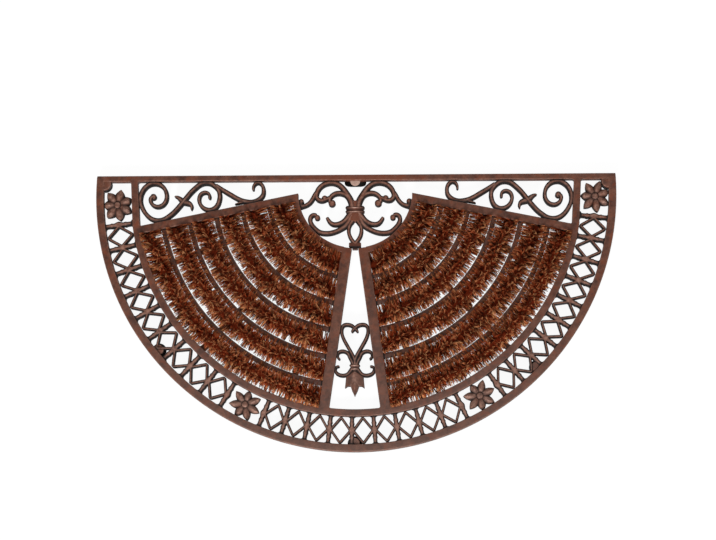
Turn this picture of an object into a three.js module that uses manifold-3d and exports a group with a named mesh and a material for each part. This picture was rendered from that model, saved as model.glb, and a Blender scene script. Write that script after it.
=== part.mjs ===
// Half-round cast-iron boot mat with coir brush rows.
// Millimetres, +Z up. The straight back edge lies at +Y, the round edge at -Y,
// and the origin is under the middle of the mat, on the floor.

import * as THREE from 'three'
import { mergeVertices } from 'three/addons/utils/BufferGeometryUtils.js'
import Module from 'manifold-3d'

const wasm = await Module()
wasm.setup()

// Frame, in plan. The arcs share one centre, a little in front of the back edge.
const outer_radius = 375
const back_depth = 25
const back_bar_width = 8.5
const outer_rim_width = 11
const band_height = 39
const inner_rim_width = 10.5
const post_width = 10
const hub_radius = 82
const hub_arc_width = 9
const upper_bar_width = 11.5
const upper_bar_fall = 11.5
const upper_bar_drop = 2
const wedge_bar_width = 14.7
const wedge_lean = 7.85
const wedge_throat = 4.4
const rib_width = 7.5
const cross_bar_width = 9
const cross_bar_angles = [21, 46, 72]

// Heights. The frame stands on rubber feet.
const foot_height = 4
const frame_depth = 14
const frame_chamfer = 1.2
const rib_recess = 1
const cross_bar_depth = 5
const scroll_recess = 0.8
const ridge_shoulder = 2.2

// Rows and brushes
const brush_rows = 6
const brush_core_width = 17
const brush_core_height = 7
const bristle_rise = 6
const bristle_root = 4
const bristle_tip = 0.8
const bristle_pitch = 18.5
const brush_sag = 3
const wire_radius = 1.4
const wire_stub = 4

// Frieze between the rims. The flowers stand at angles from straight down, each turned
// about its own middle, and the panels fill the band between them.
const flower_angles = [-87.1, -26.9, 30.9, 88.6]
const flower_turns = [-3, 189, 189, 22]
const flower_radius = 23
const flower_valley = 15.5
const flower_petals = 7
const flower_boss = 5
const flower_gap = 3.5
const panel_pitches = 9
const baluster_width = 6
const baluster_knuckle = 10
const lozenge_stroke = 5.5

// Scrollwork strokes
const scroll_stroke = 6.4
const hub_stroke = 6.8
const heart_stroke = 5
const collar_width = 25.5
const collar_length = 12
const heart_collar_width = 14
const heart_collar_length = 10
const knot_width = 19
const knot_length = 8.5

// Feet and the bosses that carry them
const foot_radius = 10.5
const back_foot_length = 28
const back_foot_width = 14
const boss_radius = 7.5
const corner_boss_radius = 9.8
const boss_recess = 3
const corner_boss_recess = 0.6
const rim_foot_angles = [-50.9, 0, 45.4]
const rim_foot_inset = 13
const corner_foot_inset = 11.3
const corner_foot_drop = 2.7

// Gap kept where one casting is cut to fit round another
const fit = 0.3

// Values that follow from the sizes above
const TAU = Math.PI * 2
const rad = THREE.MathUtils.degToRad
const centre_y = (outer_radius - back_depth) / 2
const bar_front = back_depth - back_bar_width
const frame_bottom = foot_height
const frame_top = foot_height + frame_depth
const rib_bottom = frame_bottom + cross_bar_depth
const rib_top = frame_top - rib_recess
const rim_inner = outer_radius - outer_rim_width
const band_inner = rim_inner - band_height
const inner_rim_inner = band_inner - inner_rim_width
const band_middle = (rim_inner + band_inner) / 2
const hub_outer = hub_radius + hub_arc_width
const hub_middle = hub_radius + hub_arc_width / 2
const inner_rim_middle = inner_rim_inner + inner_rim_width / 2
const row_pitch = (inner_rim_middle - hub_middle) / brush_rows

const cast_iron = { color: 0x5a4038, roughness: 0.62, metalness: 0.55 }
const coir = { color: 0x8a4a20, roughness: 0.95, metalness: 0 }
const rubber = { color: 0x141312, roughness: 0.8, metalness: 0 }

const part = new THREE.Group()
const plan = new THREE.Group()
plan.position.y = centre_y
part.add(plan)

// Plan geometry helpers: points, lines and where a line meets an arc

const at = (x, y) => new THREE.Vector2(x, y)
const polar = (radius, angle) => at(radius * Math.cos(angle), radius * Math.sin(angle))

function line(point, angle) {
  return { point, direction: at(Math.cos(angle), Math.sin(angle)) }
}

// The same line moved to its left by a distance
function offset(base, distance) {
  const { x, y } = base.direction
  return { point: at(-y, x).multiplyScalar(distance).add(base.point), direction: base.direction }
}

// Where the line leaves a circle about the arcs' centre
function meet(base, radius) {
  const along = base.point.dot(base.direction)
  const across = base.point.lengthSq() - radius * radius
  const step = -along + Math.sqrt(along * along - across)
  return base.direction.clone().multiplyScalar(step).add(base.point)
}

const turnOf = (point) => (Math.atan2(point.y, point.x) + TAU) % TAU

// Solids

// A body through matching rings of points; closed rings make an endless band
function loft(rings, endless = false) {
  const count = rings[0].length
  const index = []
  const last = endless ? rings.length : rings.length - 1
  for (let i = 0; i < last; i++) {
    const a = i * count
    const b = ((i + 1) % rings.length) * count
    for (let j = 0; j < count; j++) {
      const k = (j + 1) % count
      index.push(a + j, a + k, b + k, a + j, b + k, b + j)
    }
  }
  if (!endless) {
    const end = (rings.length - 1) * count
    for (let j = 1; j < count - 1; j++) {
      index.push(0, j + 1, j, end, end + j, end + j + 1)
    }
  }
  return body(rings.flat(), index)
}

// Turns every face outward, whichever way round the rings were given
function body(points, index) {
  let volume = 0
  for (let i = 0; i < index.length; i += 3) {
    const [a, b, c] = [points[index[i]], points[index[i + 1]], points[index[i + 2]]]
    volume += a.dot(new THREE.Vector3().crossVectors(b, c))
  }
  const faces = volume < 0 ? index.slice().reverse() : index
  const geometry = new THREE.BufferGeometry().setFromPoints(points)
  geometry.setIndex(faces)
  return geometry
}

// A cast member: each edge is its two sides in plan, with a chamfered top
function member(edges, bottom, top, chamfer = frame_chamfer, endless = false) {
  const rings = edges.map(([a, b]) => {
    const share = Math.min(chamfer / a.distanceTo(b), 0.42)
    const corner = (t, z) => new THREE.Vector3(a.x + (b.x - a.x) * t, a.y + (b.y - a.y) * t, z)
    return [
      corner(0, bottom), corner(1, bottom), corner(1, top - chamfer),
      corner(1 - share, top), corner(share, top), corner(0, top - chamfer),
    ]
  })
  return loft(rings, endless)
}

// A stroke of scrollwork: the same, with its top brought to a rounded ridge
function ridge(edges, bottom, top, shoulder = ridge_shoulder, endless = false) {
  const rings = edges.map(([a, b]) => {
    const corner = (t, z) => new THREE.Vector3(a.x + (b.x - a.x) * t, a.y + (b.y - a.y) * t, z)
    return [
      corner(0, bottom), corner(1, bottom), corner(1, top - shoulder),
      corner(0.5, top), corner(0, top - shoulder),
    ]
  })
  return loft(rings, endless)
}

// Sides of an arc whose two ends may lie on straight lines
function arcEdges(inner, outer, startAt, endAt, steps) {
  return Array.from({ length: steps + 1 }, (_, i) => [inner, outer].map((radius) =>
    polar(radius, THREE.MathUtils.lerp(startAt(radius), endAt(radius), i / steps))))
}

// Sides of a stroke along a curve through plan points, with a changing width
function strokeEdges(points, widths, steps) {
  const places = points.map(([x, y]) => new THREE.Vector3(x, y, 0))
  const curve = new THREE.CatmullRomCurve3(places, false, 'centripetal')
  return Array.from({ length: steps + 1 }, (_, i) => {
    const t = i / steps
    const place = curve.getPointAt(t)
    const along = curve.getTangentAt(t)
    const seat = t * (widths.length - 1)
    const k = Math.min(Math.floor(seat), widths.length - 2)
    const half = THREE.MathUtils.lerp(widths[k], widths[k + 1], seat - k) / 2
    const side = at(-along.y, along.x).multiplyScalar(half)
    return [place.clone().add(side), place.clone().sub(side)]
  })
}

// An upright disc with a chamfered top
function disc(x, y, radius, bottom, top, sides = 12, chamfer = frame_chamfer) {
  const profile = [
    at(0, bottom), at(radius, bottom), at(radius, top - chamfer), at(radius - chamfer, top), at(0, top),
  ]
  return new THREE.LatheGeometry(profile, sides).rotateX(Math.PI / 2).translate(x, y, 0)
}

// A plate of constant height over a plan outline
function plate(outline, bottom, top) {
  const shape = new THREE.Shape(outline)
  const geometry = new THREE.ExtrudeGeometry(shape, { depth: top - bottom, bevelEnabled: false })
  return geometry.translate(0, 0, bottom)
}

function toSolid(geometry) {
  const bare = geometry.clone()
  bare.deleteAttribute('normal')
  bare.deleteAttribute('uv')
  const merged = mergeVertices(bare, 1e-3)
  return new wasm.Manifold(new wasm.Mesh({
    numProp: 3,
    vertProperties: new Float32Array(merged.attributes.position.array),
    triVerts: new Uint32Array(merged.index.array),
  }))
}

function toGeometry(solid) {
  const mesh = solid.getMesh()
  const geometry = new THREE.BufferGeometry()
  geometry.setAttribute('position', new THREE.BufferAttribute(mesh.vertProperties, 3))
  geometry.setIndex(new THREE.BufferAttribute(mesh.triVerts, 1))
  return geometry
}

const join = (geometries) => geometries.map(toSolid).reduce((whole, next) => whole.add(next))

function addPiece(name, geometry, finish, flip = false) {
  const mesh = new THREE.Mesh(geometry, new THREE.MeshStandardMaterial(finish))
  mesh.name = name
  mesh.scale.x = flip ? -1 : 1
  plan.add(mesh)
}

// Pieces are drawn on the left and repeated mirrored on the right
function addPair(name, tail, geometry, finish) {
  addPiece(`${name}_left${tail}`, geometry, finish)
  addPiece(`${name}_right${tail}`, geometry.clone(), finish, true)
}

const mirror = (geometry) => {
  const flipped = geometry.clone().scale(-1, 1, 1)
  if (!flipped.index) flipped.setIndex([...Array(flipped.attributes.position.count).keys()])
  flipped.setIndex([...flipped.index.array].reverse())
  return flipped
}

// Lines that bound the left grid: the upper bar's two sides, the wedge bar's two sides
const upper_top = line(at(-hub_radius, -upper_bar_drop), Math.PI + rad(upper_bar_fall))
const upper_low = offset(upper_top, upper_bar_width)
const wedge_window = line(at(-wedge_throat, -hub_radius), -Math.PI / 2 - rad(wedge_lean))
const wedge_grid = offset(wedge_window, -wedge_bar_width)
const gridStart = (radius) => turnOf(meet(upper_low, radius))
const gridEnd = (radius) => turnOf(meet(wedge_grid, radius))

// Outer rim: an arc from one end of the back bar to the other, with the bosses of five feet
const rimStart = (radius) => Math.PI - Math.asin(bar_front / radius)
const rimEnd = (radius) => TAU + Math.asin(bar_front / radius)
const foot_reach = outer_radius - rim_foot_inset
const rim_feet = rim_foot_angles.map((angle) => polar(foot_reach, -Math.PI / 2 + rad(angle)))
const corner_feet = [-1, 1].map((side) =>
  at(side * (outer_radius - corner_foot_inset), bar_front - corner_foot_drop))
const back_foot = at(0, back_depth - fit - back_foot_width / 2)
const boss_top = frame_top - boss_recess

function makeOuterRim() {
  const arc = member(
    arcEdges(rim_inner, outer_radius, rimStart, rimEnd, 52), frame_bottom, frame_top)
  const rounds = [...rim_feet.map((foot) => [foot, boss_radius, boss_top]),
    ...corner_feet.map((foot) => [foot, corner_boss_radius, frame_top - corner_boss_recess])]
  const bosses = rounds.map(([{ x, y }, radius, top]) =>
    toSolid(disc(x, y, radius, frame_bottom, top)))
  const back = toSolid(plate([
    at(-outer_radius, bar_front), at(outer_radius, bar_front),
    at(outer_radius, 2 * back_depth), at(-outer_radius, 2 * back_depth),
  ], 0, frame_top))
  const whole = bosses.reduce((sum, boss) => sum.add(boss), toSolid(arc))
  return toGeometry(whole.subtract(back))
}
addPiece('outer_rim', makeOuterRim(), cast_iron)

// Back bar: closes the half round, its ends follow the outer arc. Its boss draws in to the front.
const back_boss_front = back_foot.y - back_foot_width / 2 + boss_recess / 2
function makeBackBar() {
  const half = (y) => Math.sqrt(outer_radius ** 2 - y ** 2)
  const bar = member([
    [at(-half(bar_front), bar_front), at(-half(back_depth), back_depth)],
    [at(half(bar_front), bar_front), at(half(back_depth), back_depth)],
  ], frame_bottom, frame_top)
  const boss = member([
    [at(-back_foot_width / 2, bar_front + 1), at(back_foot_width / 2, bar_front + 1)],
    [at(-back_foot_width / 3, back_boss_front), at(back_foot_width / 3, back_boss_front)],
  ], frame_bottom, boss_top)
  return toGeometry(join([bar, boss]))
}
addPiece('back_bar', makeBackBar(), cast_iron)

// Inner rim: ends level with the corner where the upper bar's top edge meets it
const post_foot = meet(upper_top, inner_rim_inner).y
const innerStart = (radius) => Math.PI - Math.asin(post_foot / radius)
const innerEnd = (radius) => TAU + Math.asin(post_foot / radius)
addPiece('inner_rim', member(
  arcEdges(inner_rim_inner, band_inner, innerStart, innerEnd, 36), frame_bottom, frame_top,
), cast_iron)

// End post: carries the inner rim on to the back bar
const across = (radius, y) => Math.sqrt(radius ** 2 - y ** 2)
addPair('end_post', '', member([
  [at(-across(band_inner, post_foot), post_foot), at(-across(inner_rim_inner, post_foot), post_foot)],
  [at(-inner_rim_middle - post_width / 2, bar_front), at(-inner_rim_middle + post_width / 2, bar_front)],
], frame_bottom, frame_top), cast_iron)

// Upper bar: the sloping top of the grid, from the hub corner to the inner rim
const upper_end = inner_rim_inner - fit
addPair('upper_bar', '', member([
  [upper_top.point, at(upper_top.point.x, meetX(upper_low, upper_top.point.x))],
  [meet(upper_top, upper_end), meet(upper_low, upper_end)],
], frame_bottom, frame_top), cast_iron)

function meetX(base, x) {
  return base.point.y + (x - base.point.x) * base.direction.y / base.direction.x
}

// Wedge bar: leans out from the hub to the inner rim beside the middle window
addPair('wedge_bar', '', member([
  [meet(wedge_window, hub_radius), meet(wedge_grid, hub_radius)],
  [meet(wedge_window, upper_end), meet(wedge_grid, upper_end)],
], frame_bottom, frame_top), cast_iron)

// Hub arc: the inner round of each grid
addPair('hub_arc', '', member(
  arcEdges(hub_radius, hub_outer, gridStart, gridEnd, 12), frame_bottom, frame_top), cast_iron)

// Ribs: evenly spaced arcs between hub and inner rim, standing on the cross bars
const ribRadius = (row) => inner_rim_middle - row_pitch * (brush_rows - row)
for (let row = 1; row < brush_rows; row++) {
  const middle = ribRadius(row)
  const edges = arcEdges(middle - rib_width / 2, middle + rib_width / 2, gridStart, gridEnd, 14)
  addPair('rib', `_${row}`, member(edges, rib_bottom, rib_top), cast_iron)
}

// Cross bars: low radial bars under the ribs, which the brushes lie on
cross_bar_angles.forEach((angle, i) => {
  const heading = Math.PI + rad(angle)
  const middle = line(at(0, 0), heading)
  const sides = [offset(middle, cross_bar_width / 2), offset(middle, -cross_bar_width / 2)]
  const edges = [hub_outer + fit, inner_rim_inner - fit].map((radius) =>
    sides.map((side) => meet(side, radius)))
  addPair('cross_bar', `_${i + 1}`, member(edges, frame_bottom, rib_bottom), cast_iron)
})

// Brushes: a twisted wire in the middle of a core of packed coir, with tufts of bristle
// to both sides and upward. Each springs a little straighter than its row.
const brush_bottom = rib_bottom + fit
const channel_half = (row_pitch - rib_width) / 2 - fit

function brushRing(place, outward, halfWidth, bottom, top) {
  const waist = (bottom + top) / 2
  const at3 = (n, z) => new THREE.Vector3(place.x + outward.x * n, place.y + outward.y * n, z)
  const cheek = halfWidth * 0.6
  return [
    at3(-cheek, bottom), at3(cheek, bottom), at3(halfWidth, waist),
    at3(cheek, top), at3(-cheek, top), at3(-halfWidth, waist),
  ]
}

function makeBrush(row) {
  const middle = ribRadius(row - 0.5)
  const length = (gridEnd(middle) - gridStart(middle)) * middle - 2 * fit
  const tufts = Math.floor((length - 2 * wire_stub) / bristle_pitch)
  const pitch = (length - 2 * wire_stub) / tufts
  const wire_z = brush_bottom + brush_core_height / 2
  const core = [brush_core_width / 2, brush_bottom, brush_bottom + brush_core_height]
  const wire = [wire_radius, wire_z - wire_radius, wire_z + wire_radius]
  const station = (along, [half, bottom, top]) => {
    const t = (along + fit) / (length + 2 * fit)
    const radius = middle + brush_sag * Math.cos(t * TAU)
    const angle = THREE.MathUtils.lerp(gridStart(radius), gridEnd(radius), t)
    return brushRing(polar(radius, angle), polar(1, angle), half, bottom, top)
  }
  const rings = [station(0, wire), station(wire_stub, wire)]
  const tufted = []
  for (let i = 0; i < tufts; i++) {
    const from = wire_stub + pitch * (i + 0.5) - bristle_root / 2
    if (i === 0) rings.push(station(wire_stub + fit, core))
    tufted.push(rings.length)
    rings.push(station(from, core), station(from + bristle_root, core))
  }
  rings.push(station(length - wire_stub - fit, core))
  rings.push(station(length - wire_stub, wire), station(length, wire))
  return bristled(rings, tufted, middle, row)
}

// Draws the outward, top and inward faces of the tufted steps out to pointed bristles
function bristled(rings, tufted, middle, row) {
  const count = rings[0].length
  const points = rings.flat()
  const index = []
  const tuftFaces = [2, 3, 4]
  for (let i = 0; i < rings.length - 1; i++) {
    for (let j = 0; j < count; j++) {
      const quad = [i * count + j, i * count + (j + 1) % count,
        (i + 1) * count + (j + 1) % count, (i + 1) * count + j]
      if (tufted.includes(i) && tuftFaces.includes(j)) {
        points.push(bristleTip(quad.map((q) => points[q]), j - 3, i, middle, row))
        const tip = points.length - 1
        quad.forEach((q, k) => index.push(q, quad[(k + 1) % 4], tip))
      } else {
        index.push(quad[0], quad[1], quad[2], quad[0], quad[2], quad[3])
      }
    }
  }
  const end = points.length
  points.push(middlePoint(rings[0]), middlePoint(rings.at(-1)))
  const last = (rings.length - 1) * count
  for (let j = 0; j < count; j++) {
    const k = (j + 1) % count
    index.push(end, k, j, end + 1, last + j, last + k)
  }
  return body(points, index)
}

const middlePoint = (ring) =>
  ring.reduce((sum, p) => sum.add(p), new THREE.Vector3()).divideScalar(ring.length)

// Side bristles reach to the channel's wall, top bristles stand up with a small lean
function bristleTip(corners, side, step, middle, row) {
  const root = middlePoint(corners)
  const angle = Math.atan2(root.y, root.x)
  const lean = Math.sin(step * 2.4 + row * 1.7 + side)
  const along = polar(1, angle + Math.PI / 2).multiplyScalar(lean * bristle_tip * 2)
  const reach = side === 0 ? middle + lean * 3 : middle - side * (channel_half - Math.abs(lean))
  const rise = side === 0 ? bristle_rise : bristle_rise / 2 + lean
  const place = polar(reach, angle)
  const z = brush_bottom + brush_core_height + rise
  return new THREE.Vector3(place.x + along.x, place.y + along.y, z)
}

for (let row = 1; row <= brush_rows; row++) addPair('brush', `_${row}`, makeBrush(row), coir)

// Feet: rubber pads under the bosses
function makeFoot({ x, y }) {
  const edge = 0.8
  const profile = [
    at(0, 0), at(foot_radius - edge, 0), at(foot_radius, edge),
    at(foot_radius, foot_height), at(0, foot_height),
  ]
  return new THREE.LatheGeometry(profile, 12).rotateX(Math.PI / 2).translate(x, y, 0)
}
const feet = {
  foot_left_corner: corner_feet[0], foot_right_corner: corner_feet[1],
  foot_left_rim: rim_feet[0], foot_middle_rim: rim_feet[1], foot_right_rim: rim_feet[2],
}
for (const [name, place] of Object.entries(feet)) addPiece(name, makeFoot(place), rubber)

// The back foot is a long one with round ends
function makeBackFoot() {
  const edge = 0.8
  const end = back_foot_width / 2
  const ringAt = (inset, z) => Array.from({ length: 16 }, (_, i) => {
    const angle = (i + 0.5) * TAU / 16
    const middle = Math.sign(Math.cos(angle)) * (back_foot_length / 2 - end)
    const place = polar(end - inset, angle)
    return new THREE.Vector3(back_foot.x + middle + place.x, back_foot.y + place.y, z)
  })
  return loft([ringAt(edge, 0), ringAt(0, edge), ringAt(0, foot_height)])
}
addPiece('foot_middle_back', makeBackFoot(), rubber)

// Flowers: seven ridged petals round a raised boss, drawn in where they meet a rim
const scroll_top = frame_top - scroll_recess
const band_half = band_height / 2 - fit

function makeFlower(turn) {
  const steps = flower_petals * 2
  const ringAt = (scale, z) => Array.from({ length: steps }, (_, i) => {
    const angle = i * TAU / steps + rad(turn) - Math.PI / 2
    const onTip = i % 2 === 0
    const room = (band_half - fit) / Math.abs(Math.sin(angle))
    const radius = (onTip ? Math.min(flower_radius, room) : flower_valley) * scale
    const fall = onTip ? 0 : frame_chamfer
    return new THREE.Vector3(radius * Math.cos(angle), radius * Math.sin(angle), z - fall)
  })
  const level = ringAt(1, frame_bottom).map((p) => p.setZ(frame_bottom))
  return loft([level, ringAt(1, scroll_top - 3 * frame_chamfer), ringAt(0.5, scroll_top)])
}

function placeFlower(i) {
  const boss = disc(0, 0, flower_boss, frame_bottom + fit, frame_top, 8, 2 * frame_chamfer)
  return toGeometry(join([makeFlower(flower_turns[i]), boss]))
    .translate(0, -band_middle, 0).rotateZ(rad(flower_angles[i]))
}
const flower_names = ['left_corner', 'left_band', 'right_band', 'right_corner']
flower_names.forEach((name, i) => addPiece(`flower_${name}`, placeFlower(i), cast_iron))

// Frieze panels: pierced lozenges between balusters, from rim to rim and flower to flower
const flower_room = (flower_radius + flower_gap + baluster_width / 2) / band_middle

function makeBaluster() {
  const heights = [-band_half, -baluster_knuckle, 0, baluster_knuckle, band_half]
  const widths = [baluster_width, baluster_width, baluster_knuckle, baluster_width, baluster_width]
  const edges = heights.map((v, i) => [at(-widths[i] / 2, v), at(widths[i] / 2, v)])
  return ridge(edges, frame_bottom, scroll_top)
}

function makeLozenge(motif_pitch) {
  const tip = at(motif_pitch * band_middle / 2, band_half)
  const side = tip.length()
  const hole = at(tip.x - lozenge_stroke * side / tip.y, tip.y - lozenge_stroke * side / tip.x)
  const corners = [[1, 0], [0, 1], [-1, 0], [0, -1]]
  const edges = corners.map(([x, y]) => [at(tip.x * x, tip.y * y), at(hole.x * x, hole.y * y)])
  return ridge(edges, frame_bottom, scroll_top, ridge_shoulder, true)
}

function makePanel(flower) {
  const first = rad(flower_angles[flower]) + flower_room
  const motif_pitch = (rad(flower_angles[flower + 1]) - flower_room - first) / panel_pitches
  const motifs = []
  for (let i = 0; i <= 2 * panel_pitches; i++) {
    const motif = i % 2 === 0 ? makeBaluster() : makeLozenge(motif_pitch)
    motifs.push(motif.translate(0, -band_middle, 0).rotateZ(first + motif_pitch * i / 2))
  }
  const bosses = rim_feet.map(({ x, y }) =>
    toSolid(disc(x, y, boss_radius + fit, 0, boss_top + fit, 12, 0)))
  return toGeometry(bosses.reduce((rest, boss) => rest.subtract(boss), join(motifs)))
}
addPiece('band_panel_left', makePanel(0), cast_iron)
addPiece('band_panel_middle', makePanel(1), cast_iron)
addPiece('band_panel_right', makePanel(2), cast_iron)

// Scrollwork is drawn as strokes and trimmed to the bay that it fills. The widths along
// each stroke, and the radius of each ball, are shares of the stroke's own width.
function scrollwork(strokes, balls, stroke, bay) {
  const pieces = strokes.map(({ points, widths, steps }) => {
    const edges = strokeEdges(points, widths.map((share) => share * stroke), steps)
    return toSolid(ridge(edges, frame_bottom, scroll_top))
  })
  for (const [x, y, share] of balls) {
    const ball = disc(x, y, share * stroke, frame_bottom, scroll_top, 8, ridge_shoulder / 2)
    pieces.push(toSolid(ball))
  }
  return pieces.reduce((sum, next) => sum.add(next)).intersect(bay)
}

const prism = (outline) => toSolid(plate(outline, 0, frame_top + frame_depth))

// Side scroll: an S of two volutes with a leaf at its waist, and a hook beside it, between
// the back bar, the end post and the upper bar. It is drawn from the post's top corner, for a
// bay 232.75 long and 66.3 deep, and takes up the length and depth that its bay has.
const post_corner = at(-inner_rim_middle + post_width / 2, bar_front)
const post_inner_foot = at(-across(inner_rim_inner, post_foot), post_foot)
const bay_length = -hub_radius - post_corner.x
const bay_depth = bar_front + upper_bar_drop + bay_length * Math.tan(rad(upper_bar_fall))
const fromPost = (points) => points.map(([x, y, ...rest]) => [
  post_corner.x + x * bay_length / 232.75, post_corner.y + y * bay_depth / 66.3, ...rest])
const side_bay = prism([
  at(post_corner.x + fit, bar_front - fit),
  at(post_inner_foot.x + 2 * fit, post_inner_foot.y + 2 * fit),
  at(upper_top.point.x, upper_top.point.y + fit),
  at(upper_top.point.x, bar_front - fit),
])

const side_strokes = [
  {
    points: fromPost([
      [23.9, -21.2], [19.4, -23.6], [18.7, -28.2], [21.4, -33.3], [26.8, -36.4], [32.6, -36.2],
      [37.8, -33.1], [41.3, -27.6], [42.2, -21.5], [41, -14.6], [37.6, -8.6], [32, -4], [25.2, -2.1],
      [18.9, -2.7], [13.5, -5.6], [8.8, -10.2], [5.2, -17.3], [3.8, -25.2], [5, -33.5], [9.8, -43.6],
      [16.1, -51.2], [23.2, -55.6], [31.5, -57], [39.6, -55], [46.8, -50.2], [53.7, -44.3],
      [62.5, -34.2], [69.8, -24.8], [77.6, -15.2], [87.7, -5.8], [93.4, -2.6], [99.2, -1.7],
      [105.5, -2.7], [111.6, -6.6], [117.2, -13.1], [119.2, -20], [118.8, -26.4], [117.2, -32.4],
      [114, -37.6], [108.4, -41.3], [102.6, -41.7], [96.8, -39.6], [92.2, -35.4], [89.5, -29.6],
      [89.2, -24.2], [91.2, -19], [95.1, -16.3], [99.4, -15.9], [103.1, -17.9], [104.6, -21.4],
      [103.9, -25.6],
    ]),
    widths: [0.88, 0.85, 0.92, ...Array(9).fill(1), 0.92, 0.8, 0.62],
    steps: 46,
  },
  {
    points: fromPost([
      [112.8, -5.2], [118.6, -9.2], [125, -13.6], [135.7, -20.1], [143.4, -24.7], [151.2, -28.3],
      [158.9, -30.1], [164.7, -30.6], [171, -29.4], [177.7, -25.5], [181.9, -19.9], [182.6, -13.5],
      [181.6, -8.1], [178.7, -3.9], [174.6, -1.9], [170.2, -3.7], [167.5, -8.5], [167.6, -13.4],
    ]),
    widths: [0.8, 1, 1, 1, 0.95, 0.78, 0.48],
    steps: 20,
  },
  {
    points: fromPost([[53.3, -21.9], [57.2, -22.6], [60.9, -25.1], [66.2, -29.8]]),
    widths: [0.23, 0.62, 0.88, 0.96],
    steps: 4,
  },
  {
    points: fromPost([[66.2, -29.8], [72.6, -31.3], [77, -33.5], [78.8, -37.4], [77.8, -42.1]]),
    widths: [0.96, 0.96, 0.85, 0.65, 0.23],
    steps: 5,
  },
  {
    points: fromPost([[137, -34.9], [142.6, -33.3], [148.3, -31.5], [155.1, -29.5]]),
    widths: [0.27, 0.7, 0.85, 0.92],
    steps: 3,
  },
]
const side_balls = fromPost([[22.7, -21.9, 0.71]])
const side_scroll = scrollwork(side_strokes, side_balls, scroll_stroke, side_bay)
addPair('side_scroll', '', toGeometry(side_scroll), cast_iron)

// Hub scrollwork: two mirrored branches bound by a collar, an almond below it and a knot
// in the throat of the window. It is drawn for the left half of a hub with a radius of 82.
const hub_scale = hub_radius / 82
const onHub = (points) => points.map(([x, y, ...rest]) => [x * hub_scale, y * hub_scale, ...rest])
const hub_strokes = [
  {
    points: onHub([
      [-4.4, -25], [-5, -18], [-6.8, -12], [-11.6, -3.6], [-17, 4.6], [-23.6, 10.8], [-32, 13.6],
      [-40.4, 13], [-47.6, 9.7], [-53, 3.9], [-55.6, -2.8], [-55.2, -8.6], [-51.7, -12],
      [-46.3, -12.6], [-41.5, -10.5], [-36, -8.5],
    ]),
    widths: [1.4, 1.4, 1.22, 1.06, 1, 1, 1, 0.9, 0.84],
    steps: 19,
  },
  {
    points: onHub([
      [-8, -11], [-12.4, -5.4], [-17.4, -2.6], [-23.4, -1.6], [-29.4, -2.8], [-34.2, -6.2],
      [-36.9, -10.6], [-36.4, -15],
    ]),
    widths: [1.04, 1, 0.95, 0.9, 0.8],
    steps: 9,
  },
  {
    points: onHub([
      [-55.5, -0.5], [-58.4, -4.8], [-61.3, -10.4], [-64.8, -15.2], [-69, -18.6], [-74, -20.4],
      [-82, -21.4],
    ]),
    widths: [0.9, 0.9, 0.85, 0.85, 1.3],
    steps: 8,
  },
  { points: onHub([[-78, -14], [-79, -21]]), widths: [1, 1], steps: 1 },
  {
    points: onHub([
      [-4, -29], [-10.3, -37.4], [-16.1, -43.4], [-23.3, -47], [-30.5, -47.6], [-35.5, -45.1],
      [-38.6, -40.9], [-40.8, -37.2],
    ]),
    widths: [1.4, 1.3, 1.12, 1, 0.92, 0.84, 0.66],
    steps: 10,
  },
  {
    points: onHub([
      [-4.4, -33], [-11.8, -47.4], [-19.7, -53.9], [-28, -58.1], [-36.4, -60.3], [-44.8, -60.4],
      [-51.6, -58.6], [-57.4, -54.1], [-62.4, -48], [-64.8, -41.3], [-63.4, -35.6],
      [-59.2, -33.2], [-55.4, -34.8],
    ]),
    widths: [1.4, 1.2, 0.95, 0.95, 1, 0.95, 0.76],
    steps: 15,
  },
  {
    points: onHub([
      [-2.4, -36], [-3.6, -42.6], [-7, -47.4], [-9, -53.2], [-9, -59.6], [-7, -66.2], [-3, -72.5],
      [1, -77],
    ]),
    widths: [1.2, 0.95, 0.8, 0.8, 0.8, 0.8, 0.9],
    steps: 10,
  },
]
const hub_balls = onHub([
  [-33.3, -16.4, 0.75], [-54.4, -37.4, 0.58], [-43.9, -9.4, 0.66], [-78, -14, 0.6],
])

function makeHubScrollwork() {
  const bay = prism([
    ...arcEdges(hub_radius - fit, hub_radius, rimStart, rimEnd, 40).map(([p]) => p)
      .filter((p) => p.y < bar_front - fit),
    at(hub_radius - fit, bar_front - fit), at(-hub_radius + fit, bar_front - fit),
  ])
  const block = (half, top, bottom) =>
    toSolid(plate([at(-half, top), at(half, top), at(half, bottom), at(-half, bottom)],
      frame_bottom, scroll_top))
  const knot_top = knot_length - hub_radius
  const knot = block(knot_width / 2, knot_top, -hub_radius - 2).intersect(bay)
  const throat = block(wedge_throat - fit, knot_top - 1, -hub_radius - 2)
  const collar = makeCollar(collar_width, collar_length, -20.4 * hub_scale)
  const left = scrollwork(hub_strokes, hub_balls, hub_stroke, bay)
  const right = toSolid(mirror(toGeometry(left)))
  return toGeometry([collar, knot, throat, right].reduce((sum, next) => sum.add(next), left))
}

// A binding collar: a block across the strokes with two raised rings
function makeCollar(width, length, top) {
  const half = width / 2
  const edges = [0, 1, 2, 3, 4].map((i) => {
    const reach = i % 2 === 1 ? half : half - frame_chamfer
    return [at(-reach, top - i * length / 4), at(reach, top - i * length / 4)]
  })
  return toSolid(member(edges, frame_bottom, frame_top))
}
addPiece('hub_scrollwork', makeHubScrollwork(), cast_iron)

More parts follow.
